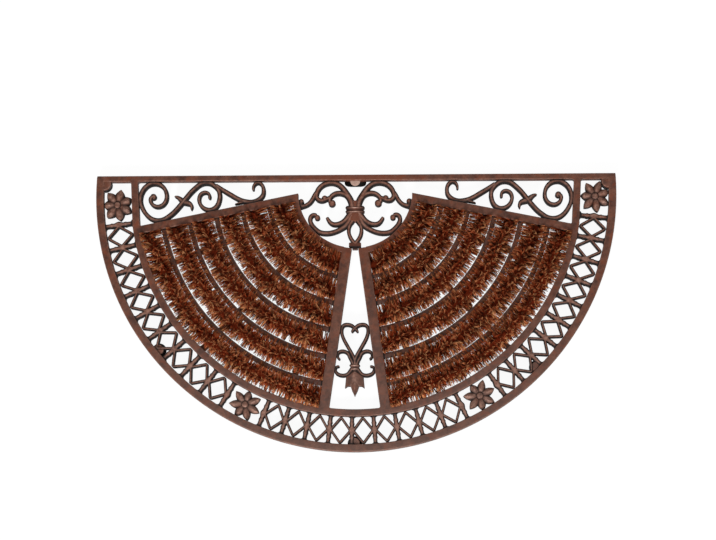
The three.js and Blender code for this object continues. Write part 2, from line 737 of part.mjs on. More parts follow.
// Heart ornament: a heart and two pairs of small scrolls bound by a collar, with a
// five-pointed leaf, across the middle window between the wedge bars. It is drawn for the
// left half of a window that ends 314.5 from the arcs' centre.
const window_scale = inner_rim_inner / 314.5
const inWindow = (points) => points.map(([x, y]) => [x * window_scale, y * window_scale])
const heart_strokes = [
  {
    points: inWindow([
      [0.8, -200], [-2.6, -196.2], [-6.2, -194], [-10.8, -193.3], [-15.4, -194], [-18.2, -197.4],
      [-18.9, -203.6], [-17.6, -209.8], [-15, -215.9], [-11.3, -222.6], [-7.2, -229.8],
      [-3.2, -237], [-0.5, -243.5], [0.6, -251],
    ]),
    widths: [1, 1, 1, 1, 1, 1.15],
    steps: 16,
  },
  {
    points: inWindow([[0.5, -198.6], [-2.4, -200.8], [-4.4, -204.4]]),
    widths: [1, 0.85, 0.6],
    steps: 3,
  },
  {
    points: inWindow([
      [-2, -252], [-4.8, -244.8], [-7.3, -240.4], [-9.3, -235.4], [-12.9, -232.4], [-18, -231.4],
      [-22.8, -232.9], [-24.6, -236.4], [-24.2, -240.5], [-21, -243.4],
    ]),
    widths: [1.15, 1, 1, 0.9, 0.6],
    steps: 12,
  },
  {
    points: inWindow([
      [-3, -256.5], [-6.2, -259.8], [-9.8, -264.3], [-15.9, -266.3], [-22.8, -265], [-26.8, -261.5],
      [-27.8, -257], [-25.8, -253.7], [-21.6, -253.4],
    ]),
    widths: [1.15, 1, 1, 0.9, 0.6],
    steps: 11,
  },
]
const leaf_half = inWindow([
  [0, -257], [5.7, -261.5], [12.5, -268], [13, -275], [14, -284.2], [10, -281.6], [6, -281.4],
  [4, -287.6], [0, -296],
])

function makeLeaf() {
  const crest = leaf_half.at(-1)[1]
  const whole = [...leaf_half, ...leaf_half.slice(1, -1).reverse().map(([x, y]) => [-x, y])]
  const ringAt = (scale, z) => whole.map(([x, y]) =>
    new THREE.Vector3(x * scale, crest / 1.08 + (y - crest / 1.08) * scale, z))
  return toSolid(loft([
    ringAt(1, frame_bottom), ringAt(1, scroll_top - 2 * frame_chamfer), ringAt(0.7, scroll_top),
  ]))
}

function makeHeartOrnament() {
  const window_left = offset(wedge_window, fit)
  const corners = [hub_outer, inner_rim_inner - fit].map((radius) => meet(window_left, radius))
  const facing = corners.map(({ x, y }) => at(-x, y)).reverse()
  const bay = prism([...corners, ...facing])
  const left = scrollwork(heart_strokes, [], heart_stroke, bay)
  const right = toSolid(mirror(toGeometry(left)))
  const collar = makeCollar(heart_collar_width, heart_collar_length, -249.5 * window_scale)
  return toGeometry([right, collar, makeLeaf()].reduce((sum, next) => sum.add(next), left))
}
addPiece('heart_ornament', makeHeartOrnament(), cast_iron)

export default part
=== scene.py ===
import bpy
import numpy as np
from mathutils import Matrix, Vector


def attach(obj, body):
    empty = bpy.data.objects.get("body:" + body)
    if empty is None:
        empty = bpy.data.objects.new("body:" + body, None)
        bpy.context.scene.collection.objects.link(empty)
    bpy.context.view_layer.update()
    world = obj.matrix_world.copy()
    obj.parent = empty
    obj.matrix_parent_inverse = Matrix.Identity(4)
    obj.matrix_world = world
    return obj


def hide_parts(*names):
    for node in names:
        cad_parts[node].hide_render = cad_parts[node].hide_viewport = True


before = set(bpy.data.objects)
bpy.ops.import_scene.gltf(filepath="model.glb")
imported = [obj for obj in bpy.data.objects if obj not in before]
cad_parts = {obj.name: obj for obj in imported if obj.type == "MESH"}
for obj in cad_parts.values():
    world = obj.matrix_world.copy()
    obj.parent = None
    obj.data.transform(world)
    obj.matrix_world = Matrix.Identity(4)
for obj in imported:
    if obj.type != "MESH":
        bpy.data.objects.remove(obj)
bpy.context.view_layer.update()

# Camera
# High over the rounded front edge and a little to the right, so the mat shows
# almost in plan, with a thin line of each front wall.
view_rise, view_turn, view_roll = np.radians([80.0, 12.5, 0.10])
view_reach = 3.0
view_aim = Vector((0.0043, 0.0608, 0.0140))

view_back = Vector((np.sin(view_turn) * np.cos(view_rise),
                    -np.cos(view_turn) * np.cos(view_rise), np.sin(view_rise)))
view_right = Vector((0, 1, 0)).cross(view_back).normalized()
view_up = view_back.cross(view_right)
view_right, view_up = (view_right * np.cos(view_roll) + view_up * np.sin(view_roll),
                       view_up * np.cos(view_roll) - view_right * np.sin(view_roll))
lens = bpy.data.cameras.new("view_lens")
lens.lens = 105.3
lens.sensor_width = 36.0
lens.clip_start, lens.clip_end = 0.05, 60.0
camera = bpy.data.objects.new("view_camera", lens)
camera.rotation_mode = "QUATERNION"
camera.location = view_aim + view_back * view_reach
camera.rotation_quaternion = Matrix(
    (view_right, view_up, view_back)).transposed().to_quaternion()
bpy.context.scene.collection.objects.link(camera)
bpy.context.scene.camera = camera


# Floor and light
# A plain white floor under the feet, a wide soft lamp over the front edge, a
# weaker one from behind, and an even white room.
def add_node(tree, kind, inputs=None, **settings):
    """A shader node with its settings; inputs gives a value or a socket for each socket named."""
    made = tree.nodes.new(kind)
    for key, value in settings.items():
        setattr(made, key, value)
    for key, value in (inputs or {}).items():
        if isinstance(value, bpy.types.NodeSocket):
            tree.links.new(value, made.inputs[key])
        else:
            made.inputs[key].default_value = value
    return made


def new_finish(name):
    """An empty node material and its tree."""
    finish = bpy.data.materials.new(name)
    finish.use_nodes = True
    finish.node_tree.nodes.clear()
    return finish, finish.node_tree


floor_reach, floor_level = 9.0, -0.0002
floor_mesh = bpy.data.meshes.new("floor")
floor_mesh.from_pydata([(x * floor_reach, y * floor_reach, floor_level)
                        for x, y in ((-1, -1), (1, -1), (1, 1), (-1, 1))], [], [(0, 1, 2, 3)])
floor = bpy.data.objects.new("floor", floor_mesh)
bpy.context.scene.collection.objects.link(floor)

floor_finish, tree = new_finish("white_floor")
paths = add_node(tree, "ShaderNodeLightPath")
seen = add_node(tree, "ShaderNodeMath", {0: paths.outputs["Is Camera Ray"],
                                         1: paths.outputs["Is Glossy Ray"]}, operation="MAXIMUM")
matt = add_node(tree, "ShaderNodeBsdfDiffuse", {"Color": (0.78, 0.78, 0.78, 1)})
faint = add_node(tree, "ShaderNodeBsdfDiffuse", {"Color": (0.15, 0.15, 0.15, 1)})
glow = add_node(tree, "ShaderNodeEmission", {"Color": (1, 1, 1, 1), "Strength": 0.93})
lit = add_node(tree, "ShaderNodeAddShader", {0: faint.outputs[0], 1: glow.outputs[0]})
whole = add_node(tree, "ShaderNodeMixShader",
                 {0: seen.outputs[0], 1: matt.outputs[0], 2: lit.outputs[0]})
add_node(tree, "ShaderNodeOutputMaterial", {"Surface": whole.outputs[0]})
floor_mesh.materials.append(floor_finish)

room = bpy.data.worlds.new("white_room")
bpy.context.scene.world = room
room.use_nodes = True
tree = room.node_tree
tree.nodes.clear()
paths = add_node(tree, "ShaderNodeLightPath")
soft_room = add_node(tree, "ShaderNodeBackground", {"Color": (1, 1, 1, 1), "Strength": 0.34})
seen_room = add_node(tree, "ShaderNodeBackground", {"Color": (1, 1, 1, 1), "Strength": 1.0})
whole = add_node(tree, "ShaderNodeMixShader",
                 {0: paths.outputs["Is Camera Ray"], 1: soft_room.outputs[0],
                  2: seen_room.outputs[0]})
add_node(tree, "ShaderNodeOutputWorld", {"Surface": whole.outputs[0]})


def add_lamp(name, place, size, power):
    """A square soft lamp that faces the mat."""
    lamp = bpy.data.lights.new(name, "AREA")
    lamp.size, lamp.energy = size, power
    holder = bpy.data.objects.new(name, lamp)
    holder.location = place
    holder.rotation_mode = "QUATERNION"
    holder.rotation_quaternion = (-Vector(place)).to_track_quat("-Z", "Y")
    bpy.context.scene.collection.objects.link(holder)


add_lamp("front_lamp", place=(-0.45, -2.0, 1.45), size=0.9, power=44.0)
add_lamp("back_lamp", place=(0.9, 1.3, 1.8), size=1.2, power=7.0)

bpy.context.scene.view_settings.view_transform = "Standard"


# Iron finish
# Sand-cast iron, blackened and then browned by weather: a fine sandy skin, red and
# dark patches, and arrises rubbed paler by boots. On top lie painted highlights on ridges,
# crests and balls, and painted shade down flanks and walls, in grooves and at joints.
def shade(red, green, blue):
    """A colour given as it shows on a screen, 0 to 255, as a shader takes it: c / 12.92 up to
    0.04045, and ((c + 0.055) / 1.055)^2.4 above."""
    c = np.array([red, green, blue]) / 255
    line = np.where(c <= 0.04045, c / 12.92, ((c + 0.055) / 1.055) ** 2.4)
    return (*map(float, line), 1.0)


def new_group(name, inputs, outputs):
    """A node group with sockets (name, kind); returns it with its ends."""
    group = bpy.data.node_groups.new(name, "ShaderNodeTree")
    for way, sockets in (("INPUT", inputs), ("OUTPUT", outputs)):
        for label, kind in sockets:
            group.interface.new_socket(label, in_out=way, socket_type=kind)
    return group, group.nodes.new("NodeGroupInput"), group.nodes.new("NodeGroupOutput")


def mix_colours(tree, share, first, second):
    """first, brought towards second by share."""
    mix = add_node(tree, "ShaderNodeMix", {0: share, 6: first, 7: second}, data_type="RGBA")
    return mix.outputs[2]


def spread(tree, value, low, high, to_low=0.0, to_high=1.0):
    """A value from low to high brought to the range to_low to to_high, and held there."""
    made = add_node(tree, "ShaderNodeMapRange", {"Value": value, "From Min": low, "From Max": high,
                                                 "To Min": to_low, "To Max": to_high})
    return made.outputs[0]


def combine(tree, operation, first, second=0.0):
    """Two values or sockets taken together by a maths node."""
    return add_node(tree, "ShaderNodeMath", {0: first, 1: second}, operation=operation).outputs[0]


def noise(tree, place, scale, detail, roughness=0.5, distortion=0.0):
    """Cloudy noise at each place, from 0 to 1."""
    made = add_node(tree, "ShaderNodeTexNoise",
                    {"Vector": place, "Scale": scale, "Detail": detail, "Roughness": roughness,
                     "Distortion": distortion})
    return made.outputs["Fac"]


def mark(tree, label):
    """A value that the mesh holds at each of its points."""
    return add_node(tree, "ShaderNodeAttribute", attribute_name=label).outputs["Fac"]


def laid_in(tree, group, place, **inputs):
    """A node group with its inputs, read at each place."""
    return add_node(tree, "ShaderNodeGroup", {"Vector": place, **inputs}, node_tree=group)


def surface(tree, inputs):
    """The principled surface that a finish shows."""
    made = add_node(tree, "ShaderNodeBsdfPrincipled", inputs)
    add_node(tree, "ShaderNodeOutputMaterial", {"Surface": made.outputs[0]})


# Sandy skin: fine grains, shallow swells and a few pits, as one height
sand_skin, ends, out = new_group(
    "sand_skin", [("Vector", "NodeSocketVector"), ("Grain", "NodeSocketFloat")],
    [("Height", "NodeSocketFloat")])
place, grain_scale = ends.outputs["Vector"], ends.outputs["Grain"]
grain = noise(sand_skin, place, grain_scale, 3.0, 0.6)
swell = noise(sand_skin, place, combine(sand_skin, "MULTIPLY", grain_scale, 0.14), 2.0)
pits = add_node(sand_skin, "ShaderNodeTexVoronoi",
                {"Vector": place, "Scale": combine(sand_skin, "MULTIPLY", grain_scale, 0.28)})
pitted = spread(sand_skin, pits.outputs["Distance"], 0.0, 0.22, -0.7, 0.0)
raised = combine(sand_skin, "ADD", grain, combine(sand_skin, "MULTIPLY", swell, 2.2))
sand_skin.links.new(combine(sand_skin, "ADD", raised, pitted), out.inputs["Height"])

# Weather: two browns in patches of two sizes, with red rust in some of them
weathered, ends, out = new_group(
    "weathered", [("Vector", "NodeSocketVector"), ("Plain", "NodeSocketColor"),
                  ("Dark", "NodeSocketColor"), ("Rust", "NodeSocketColor"),
                  ("Patch", "NodeSocketFloat")],
    [("Color", "NodeSocketColor"), ("Rusty", "NodeSocketFloat")])
place, patch_scale = ends.outputs["Vector"], ends.outputs["Patch"]
patch = noise(weathered, place, patch_scale, 4.0, 0.62)
fleck = noise(weathered, place, combine(weathered, "MULTIPLY", patch_scale, 5.0), 3.0, 0.7)
bloom = noise(weathered, place, combine(weathered, "MULTIPLY", patch_scale, 1.7), 5.0,
              distortion=0.6)
rusty = spread(weathered, bloom, 0.50, 0.68)
toned = mix_colours(weathered, spread(weathered, patch, 0.36, 0.64),
                    ends.outputs["Dark"], ends.outputs["Plain"])
toned = mix_colours(weathered, spread(weathered, fleck, 0.50, 0.70, 0.0, 0.75),
                    toned, ends.outputs["Dark"])
toned = mix_colours(weathered, combine(weathered, "MULTIPLY", rusty, 0.75),
                    toned, ends.outputs["Rust"])
weathered.links.new(toned, out.inputs["Color"])
weathered.links.new(rusty, out.inputs["Rusty"])

# Dust: settles on what faces up, in broken patches
settled_dust, ends, out = new_group(
    "settled_dust", [("Vector", "NodeSocketVector"), ("Amount", "NodeSocketFloat")],
    [("Mask", "NodeSocketFloat")])
facing = add_node(settled_dust, "ShaderNodeNewGeometry")
upward = add_node(settled_dust, "ShaderNodeSeparateXYZ", {0: facing.outputs["Normal"]})
drift = noise(settled_dust, ends.outputs["Vector"], 160.0, 5.0, 0.7)
lying = combine(settled_dust, "MULTIPLY", spread(settled_dust, upward.outputs["Z"], 0.2, 1.0),
                spread(settled_dust, drift, 0.42, 0.72))
settled_dust.links.new(combine(settled_dust, "MULTIPLY", ends.outputs["Amount"], lying),
                       out.inputs["Mask"])

iron_plain = shade(130, 79, 58)
iron_dark = shade(82, 46, 33)
iron_rust = shade(134, 68, 41)
# Pale: boot wear on arrises, and also painted highlight on ridges, crests and balls
iron_worn_or_lit = shade(190, 144, 125)
# Near white, for a painted highlight
iron_glint = shade(234, 204, 188)
# Near black, for painted shade
iron_painted_shade = shade(20, 10, 8)
iron_dust = shade(140, 108, 96)
iron_trodden = shade(116, 102, 96)

iron_finish, tree = new_finish("browned_cast_iron")
place = add_node(tree, "ShaderNodeTexCoord").outputs["Object"]
weather = laid_in(tree, weathered, place, Plain=iron_plain, Dark=iron_dark, Rust=iron_rust,
                  Patch=62.0)
skin = laid_in(tree, sand_skin, place, Grain=900.0)
dust = laid_in(tree, settled_dust, place, Amount=0.22)

# Where each layer lies: the painted shade is weaker on the faces that look down, the hub and
# the back edge are the rustiest, and the front half is trodden grey
wear_or_highlight = mark(tree, "wear_or_highlight")
way_up = add_node(tree, "ShaderNodeSeparateXYZ",
                  {0: add_node(tree, "ShaderNodeNewGeometry").outputs["True Normal"]})
depth = combine(tree, "MULTIPLY", mark(tree, "depth"),
                spread(tree, way_up.outputs["Z"], -0.9, -0.6, 0.15, 1.0))
# Paler by the first mark: wear on arrises, and painted highlight on ridges and crests
rubbed_and_lit = combine(tree, "MULTIPLY", wear_or_highlight,
                 spread(tree, noise(tree, place, 240.0, 4.0), 0.36, 0.66, 0.10, 0.66))
on_mat = add_node(tree, "ShaderNodeSeparateXYZ", {0: place})
trodden = spread(tree, on_mat.outputs["Y"], 0.06, -0.20, 0.0, 0.36)
from_middle = combine(tree, "ABSOLUTE", on_mat.outputs["X"])
hub_rust = combine(tree, "MULTIPLY", spread(tree, from_middle, 0.05, 0.10, 0.60, 0.0),
                   spread(tree, on_mat.outputs["Y"], 0.07, 0.10))
# Painted shade from the depth mark: darker down flanks and walls, in grooves and against the
# members a piece is cast on to, and blacker still low on the walls
painted_shade = spread(tree, depth, 0.03, 0.56, 0.0, 0.95)
# Painted highlight: a near-white glint on the collars' crests and on the back boss
painted_glint = spread(tree, wear_or_highlight, 1.4, 2.8, 0.0, 0.85)
painted_wall_shade = spread(tree, depth, 0.30, 0.95, 0.0, 0.60)

colour = weather.outputs["Color"]
for share, layer in ((hub_rust, iron_rust), (trodden, iron_trodden), (painted_shade, iron_painted_shade),
                     (rubbed_and_lit, iron_worn_or_lit), (dust.outputs["Mask"], iron_dust),
                     (painted_glint, iron_glint), (painted_wall_shade, iron_painted_shade)):
    colour = mix_colours(tree, share, colour, layer)
unpolished = combine(tree, "ADD", combine(tree, "MULTIPLY", rubbed_and_lit, -0.16),
                     combine(tree, "MULTIPLY", depth, 0.30))
roughness = combine(tree, "ADD", spread(tree, weather.outputs["Rusty"], 0.0, 1.0, 0.54, 0.76),
                    unpolished)
bump = add_node(tree, "ShaderNodeBump", {"Height": skin.outputs["Height"], "Strength": 0.42,
                                         "Distance": 0.0006})
surface(tree, {"Base Color": colour, "Roughness": roughness, "Metallic": 0.2,
               "Specular IOR Level": 0.45, "Normal": bump.outputs["Normal"]})


# Outer rim
# The round edge of the frame, with a boss for each foot cast on its inner
# side. Poured in one with the rest, so every member ends in a small fillet.
# All plan sizes here and below are millimetres from the centre of the arcs.
arc_centre = 175.0
outer_radius, rim_inner = 375.0, 364.0
rim_middle = (outer_radius + rim_inner) / 2
bar_front, bar_back = 16.5, 25.0
frame_low, frame_high = 4.0, 18.0
boss_radius, corner_boss_radius = 7.5, 9.8
boss_high, corner_boss_high = 15.0, 17.4
rim_foot_turns = np.radians([-50.9, 0.0, 45.4])
rim_foot_radius = 362.0
rim_foot_places = [(rim_foot_radius * np.sin(t), -rim_foot_radius * np.cos(t))
                   for t in rim_foot_turns]
corner_foot_places = [(-363.7, 13.8), (363.7, 13.8)]


def skin_of(rings, closed=False):
    """Faces over rings of points: a quad joins each pair of neighbours on one ring to the same
    pair on the next, and a flat face closes each end. They are turned outward by the sign of
    the body's volume, the sum of a . (b x c) over its triangles. Faces are two arrays: the
    corners of all in a row, and how many each one has."""
    count, around = rings.shape[:2]
    points = rings.reshape(-1, 3)
    i = np.arange(count if closed else count - 1)[:, None]
    j = np.arange(around)[None, :]
    ahead, beside = (i + 1) % count, (j + 1) % around
    quads = np.stack([i * around + j, i * around + beside,
                      ahead * around + beside, ahead * around + j], -1).reshape(-1, 4)
    a, b, c, d = (points[quads[:, k]] for k in range(4))
    volume = np.sum(a * np.cross(b, c)) + np.sum(a * np.cross(c, d))
    corners, sizes = quads.ravel(), np.full(len(quads), 4)
    if not closed:
        first = np.arange(around)[::-1]
        last = np.arange(around) + (count - 1) * around
        corners = np.concatenate([corners, first, last])
        sizes = np.append(sizes, [around, around])
    faces = corners, sizes
    return points, turned_over(faces) if volume < 0 else faces


def turned_over(faces):
    """The same faces, looking the other way."""
    corners, sizes = faces
    return corners[::-1], sizes[::-1]


def cast_bar(left, right, low, high, shoulder=1.7, drop=1.7, step=3.0, roots=(3.0, 3.0),
             fillet=2.6, tips=(0.0, 0.0), crown=0.12, closed=False, ridged=False):
    """A member between two plan edges. Its section at each place is a wall, a quarter ellipse
    (shoulder across, drop down) and a top that rises by crown to the middle, mirrored.
    Where an end is cast on to a neighbour it runs on by its root, and at a distance d from
    that wall each side spreads by f - sqrt(f^2 - (f - d)^2), with f the fillet. At a free end
    with tip e, each side draws in by e (1 - sqrt(1 - (1 - d/e)^2)), and the top comes down.
    A ridged member has a painted highlight along its middle and painted shade on its flanks."""
    left, right = np.asarray(left, float), np.asarray(right, float)
    if closed:
        left, right = np.vstack([left, left[:1]]), np.vstack([right, right[:1]])
    middle = (left + right) / 2
    run = np.r_[0, np.cumsum(np.hypot(*np.diff(middle, axis=0).T))]
    length = run[-1]
    if not closed:
        way = np.diff(middle, axis=0)
        way /= np.hypot(*way.T)[:, None]
        left = np.vstack([left[0] - way[0] * roots[0], left, left[-1] + way[-1] * roots[1]])
        right = np.vstack([right[0] - way[0] * roots[0], right, right[-1] + way[-1] * roots[1]])
        run = np.r_[-roots[0] - 1e-6, run, length + roots[1] + 1e-6]
    near = 1 - np.cos(np.linspace(0, np.pi / 2, 7))
    places = [np.linspace(run[0], run[-1], max(int((run[-1] - run[0]) / step) + 1, 3))]
    if not closed:
        places += [near * (tips[0] or fillet), length - near * (tips[1] or fillet)]
    places = np.unique(np.clip(np.concatenate(places), run[0], run[-1]).round(3))
    if closed:
        places = places[:-1]
    edges = np.column_stack([left, right])
    a, b = np.split(np.column_stack([np.interp(places, run, c) for c in edges.T]), 2, axis=1)
    side = a - b
    half = np.hypot(*side.T)
    side /= half[:, None]
    half = half / 2
    top = np.full(len(places), float(high))
    if not closed:
        for gap, root, tip in ((places, roots[0], tips[0]), (length - places, roots[1], tips[1])):
            if tip:
                drawn = 1 - np.sqrt(1 - (1 - np.clip(gap / tip, 0, 1)) ** 2)
                half = np.maximum(half - tip * drawn, 0.06)
                top = top - drop * 0.8 * drawn
            elif root:
                d = np.clip(gap, 0, fillet)
                half = half + fillet - np.sqrt(fillet ** 2 - (fillet - d) ** 2)
    q = np.linspace(0, np.pi / 2, 6)[None, :]
    half, top = half[:, None], top[:, None]
    turn = np.minimum(shoulder, half * 0.97)
    fall = drop * np.minimum(1, turn / shoulder)
    arc_x = half - turn * (1 - np.cos(q))
    arc_z = top - crown - fall * (1 - np.sin(q))
    flat = np.zeros_like(half)
    x = np.hstack([half * 0.90, half * 0.97, arc_x, flat, -arc_x[:, ::-1],
                   -half * 0.97, -half * 0.90])
    z = np.hstack([flat + low, flat + low + 0.6, arc_z, top, arc_z[:, ::-1],
                   flat + low + 0.6, flat + low])
    # On a ridged member the first mark is a painted highlight along the top and the second is
    # painted shade down the flanks; on any other, the first is wear on the shoulders and the second
    # a little painted shade low on the walls.
    if ridged:
        flank, crest_highlight = np.sin(q[0]) ** 13, 1.2
        shaded, foot = (1 - np.sin(q[0])) ** 0.40, (1.0, 1.0)
    else:
        flank, crest_highlight = 0.55 * np.sin(2 * q[0]) ** 0.7, 0.0
        shaded, foot = 0.15 * (1 - np.sin(q[0])), (0.26, 0.17)
    worn_or_lit = np.r_[0, 0, flank, crest_highlight, flank[::-1], 0, 0]
    deep = np.r_[foot, shaded, 0, shaded[::-1], foot[::-1]]
    centre = (a + b) / 2
    rings = np.dstack([centre[:, None, 0] + side[:, None, 0] * x,
                       centre[:, None, 1] + side[:, None, 1] * x, z])
    points, faces = skin_of(rings, closed)
    return points, faces, np.tile(worn_or_lit, len(places)), np.tile(deep, len(places))


def turned(profile, place, sides=32, worn_or_lit=None):
    """A round body: each (radius, height) of its profile goes round an upright axis, at
    (radius cos a, radius sin a, height)."""
    profile = np.asarray(profile, float)
    a = np.linspace(0, 2 * np.pi, sides, endpoint=False)[None, :]
    r, z = profile[:, :1], profile[:, 1:]
    rings = np.dstack([place[0] + r * np.cos(a), place[1] + r * np.sin(a), z + 0 * a])
    points, faces = skin_of(rings)
    # The depth mark, which the iron finish turns into painted shade, grows from top to foot.
    high, low = profile[:, 1].max(), profile[:, 1].min()
    worn_or_lit = np.zeros(len(profile)) if worn_or_lit is None else np.asarray(worn_or_lit, float)
    return points, faces, np.repeat(worn_or_lit, sides), ((high - rings[..., 2]) / (high - low)).ravel()


def add_piece(name, shells, finish, nodes, side=1, walls=(),
              marks=("wear_or_highlight", "depth"), crease=42.0):
    """A piece from its shells, each its points, its faces and two marks for the finish, in
    millimetres about the arcs' centre. Where side is -1 it is mirrored, which turns its faces
    the other way. Against each wall that it is cast on to lies painted shade: with d the distance
    from the wall in plan, depth is at least 0.95 exp(-(d / 2.1)^2), and the first mark fades by
    1 - exp(-(d / 3)^2). A list gives each shell its own finish. Edges that turn by more than
    the crease stay sharp."""
    for wall in walls:
        shells = [(p, f, worn_or_lit * (1 - np.exp(-(wall(p) / 3.0) ** 2)),
                   np.maximum(deep, 0.95 * np.exp(-(wall(p) / 2.1) ** 2)))
                  for p, f, worn_or_lit, deep in shells]
    bases = np.cumsum([0] + [len(shell[0]) for shell in shells])
    points = (np.vstack([shell[0] for shell in shells]) + [0, arc_centre, 0]) * [side, 1, 1] / 1000
    corners = np.concatenate([shell[1][0] + base for shell, base in zip(shells, bases)])
    sizes = np.concatenate([shell[1][1] for shell in shells])
    finishes = finish if isinstance(finish, list) else [finish] * len(shells)
    in_use = list(dict.fromkeys(finishes))
    kinds = np.repeat([in_use.index(f) for f in finishes], [len(shell[1][1]) for shell in shells])
    if side < 0:
        corners, sizes, kinds = corners[::-1], sizes[::-1], kinds[::-1]
    mesh = bpy.data.meshes.new(name)
    mesh.vertices.add(len(points))
    mesh.vertices.foreach_set("co", points.astype(np.float32).ravel())
    mesh.loops.add(len(corners))
    mesh.loops.foreach_set("vertex_index", corners.astype(np.int32))
    mesh.polygons.add(len(sizes))
    mesh.polygons.foreach_set("loop_start", np.append(0, np.cumsum(sizes)[:-1]).astype(np.int32))
    mesh.polygons.foreach_set("material_index", kinds.astype(np.int32))
    mesh.polygons.foreach_set("use_smooth", np.ones(len(sizes), bool))
    mesh.update(calc_edges=True)
    for label, k in zip(marks, (2, 3)):
        values = np.concatenate([shell[k] for shell in shells]).astype(np.float32)
        mesh.attributes.new(label, "FLOAT", "POINT").data.foreach_set("value", values)
    if crease:
        mesh.set_sharp_from_angle(angle=np.radians(crease))
    for used in in_use:
        mesh.materials.append(used)
    made = bpy.data.objects.new(name, mesh)
    bpy.context.scene.collection.objects.link(made)
    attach(made, "root")
    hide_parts(*nodes)


def add_iron(name, shells, node, side=1, walls=()):
    """A member of the casting."""
    add_piece(name, shells, iron_finish, [node], side, walls)


hands = ((1, "left"), (-1, "right"))


def add_pair(name, shells, node, number="", walls=()):
    """A member on the left and its mirror on the right, with its number after the side."""
    for side, hand in hands:
        add_iron(f"{name}_{hand}{number}", shells, f"{node}_{hand}{number}", side, walls)


def upright(y, half, high, **shape):
    """A member on the middle line, half wide to each side at each y."""
    y, half = np.array(y, float), np.array(half, float)
    return cast_bar(np.column_stack([-half, y]), np.column_stack([half, y]), frame_low, high,
                    **shape)


def round_wall(radius):
    """The distance of points from a round about the arcs' centre."""
    return lambda p: np.abs(np.hypot(p[:, 0], p[:, 1]) - radius)


def straight_wall(point, way):
    """The distance of points from a straight line in plan."""
    return lambda p: np.abs((p[:, 0] - point[0]) * way[1] - (p[:, 1] - point[1]) * way[0])


def arc_edges(inner, outer, start, end, spacing=1.5):
    """The two edges of an arc, radius (cos a, sin a), between two angles."""
    steps = int(abs(end - start) * outer / spacing) + 2
    a = np.linspace(start, end, steps)[:, None]
    way = np.hstack([np.cos(a), np.sin(a)])
    return inner * way, outer * way


def boss(place, radius, high, taper=0.0, top_highlight=None):
    """An upright round from the frame's foot up, thinner there by its taper, with a rounded top
    edge at (radius - e (1 - cos t), high - e (1 - sin t)), with e the easing."""
    easing = 1.6
    q = np.linspace(0, np.pi / 2, 6)
    profile = [(radius - taper, frame_low)] + [
        (radius - easing * (1 - np.cos(t)), high - easing * (1 - np.sin(t))) for t in q
    ] + [(radius * 0.4, high + 0.1)]
    # Wear pales the rounded top edge; a top highlight, where given, is a painted highlight over the
    # whole boss.
    worn_or_lit = [0, 0, 0.5, 0.9, 1, 0.7, 0.3, 0] if top_highlight is None else [top_highlight] * len(profile)
    return turned(profile, place, worn_or_lit=worn_or_lit)


rim_start = np.pi - np.arcsin(bar_front / rim_middle)
rim_end = 2 * np.pi + np.arcsin(bar_front / rim_middle)
rim_shells = [cast_bar(*arc_edges(rim_inner, outer_radius, rim_start, rim_end),
                       frame_low, frame_high, step=4.0, roots=(1.5, 1.5), fillet=0.01)]
rim_shells += [boss(p, boss_radius, boss_high) for p in rim_foot_places]
rim_shells += [boss(p, corner_boss_radius, corner_boss_high) for p in corner_foot_places]
add_iron("rim_outer", rim_shells, "outer_rim")

# Back bar
# The straight back edge, with a boss in its middle for the back foot. Its
# ends are cut to the outer rim's round.
front_reach, back_reach = 374.6, 374.1
bar_edges = ([(-front_reach, bar_front), (front_reach, bar_front)],
             [(-back_reach, bar_back), (back_reach, bar_back)])
add_iron("bar_back", [
    cast_bar(*bar_edges, frame_low, frame_high - 0.05, step=8.0, roots=(0, 0), tips=(0.9, 0.9)),
    # Its boss is painted pale all over: a painted highlight standing for the light on its front
    # wall.
    boss((0.0, bar_front), boss_radius, boss_high, taper=1.8, top_highlight=2.2),
], "back_bar")

# Inner rim and end posts
# The round inner side of the frieze, carried up to the back bar by a short
# post at each end.
inner_rim_inner, inner_rim_middle, band_inner = 314.5, 319.75, 325.0
post_width = 10.0
upper_bar_width, upper_bar_fall, upper_bar_drop = 11.5, np.radians(11.5), 2.0
hub_radius, hub_middle, hub_outer = 82.0, 86.5, 91.0


def line_through(point, angle):
    """A line in plan, by a point and its direction."""
    return np.array(point, float), np.array([np.cos(angle), np.sin(angle)])


def beside(line, distance):
    """The same line moved to its left."""
    point, way = line
    return point + distance * np.array([-way[1], way[0]]), way


def meet(line, radius):
    """Where a line leaves a circle about the arcs' centre: point + way (-k + sqrt(k^2 - m)),
    with k = point . way and m = point . point - radius^2."""
    point, way = line
    along = point @ way
    reach = -along + np.sqrt(along ** 2 - (point @ point - np.asarray(radius, float) ** 2))
    return point + np.multiply.outer(reach, way)


upper_top = line_through((-hub_radius, -upper_bar_drop), np.pi + upper_bar_fall)
upper_low = beside(upper_top, upper_bar_width)
post_foot = meet(upper_top, inner_rim_inner)[1]
rim_turn = np.arcsin(post_foot / inner_rim_middle)
add_iron("rim_inner", [
    cast_bar(*arc_edges(inner_rim_inner, band_inner, np.pi - rim_turn, 2 * np.pi + rim_turn),
             frame_low, frame_high - 0.1, step=4.0, fillet=0.01),
], "inner_rim")

foot_outer, foot_inner = (-np.sqrt(r ** 2 - post_foot ** 2) for r in (band_inner, inner_rim_inner))
post_sides = [-inner_rim_middle - post_width / 2, -inner_rim_middle + post_width / 2]
post = cast_bar([(foot_outer, post_foot), (post_sides[0], bar_front)],
                [(foot_inner, post_foot), (post_sides[1], bar_front)],
                frame_low, frame_high - 0.15, roots=(0.6, 3.0), fillet=2.6, tips=(0.3, 0))
add_pair("post", [post], "end_post")

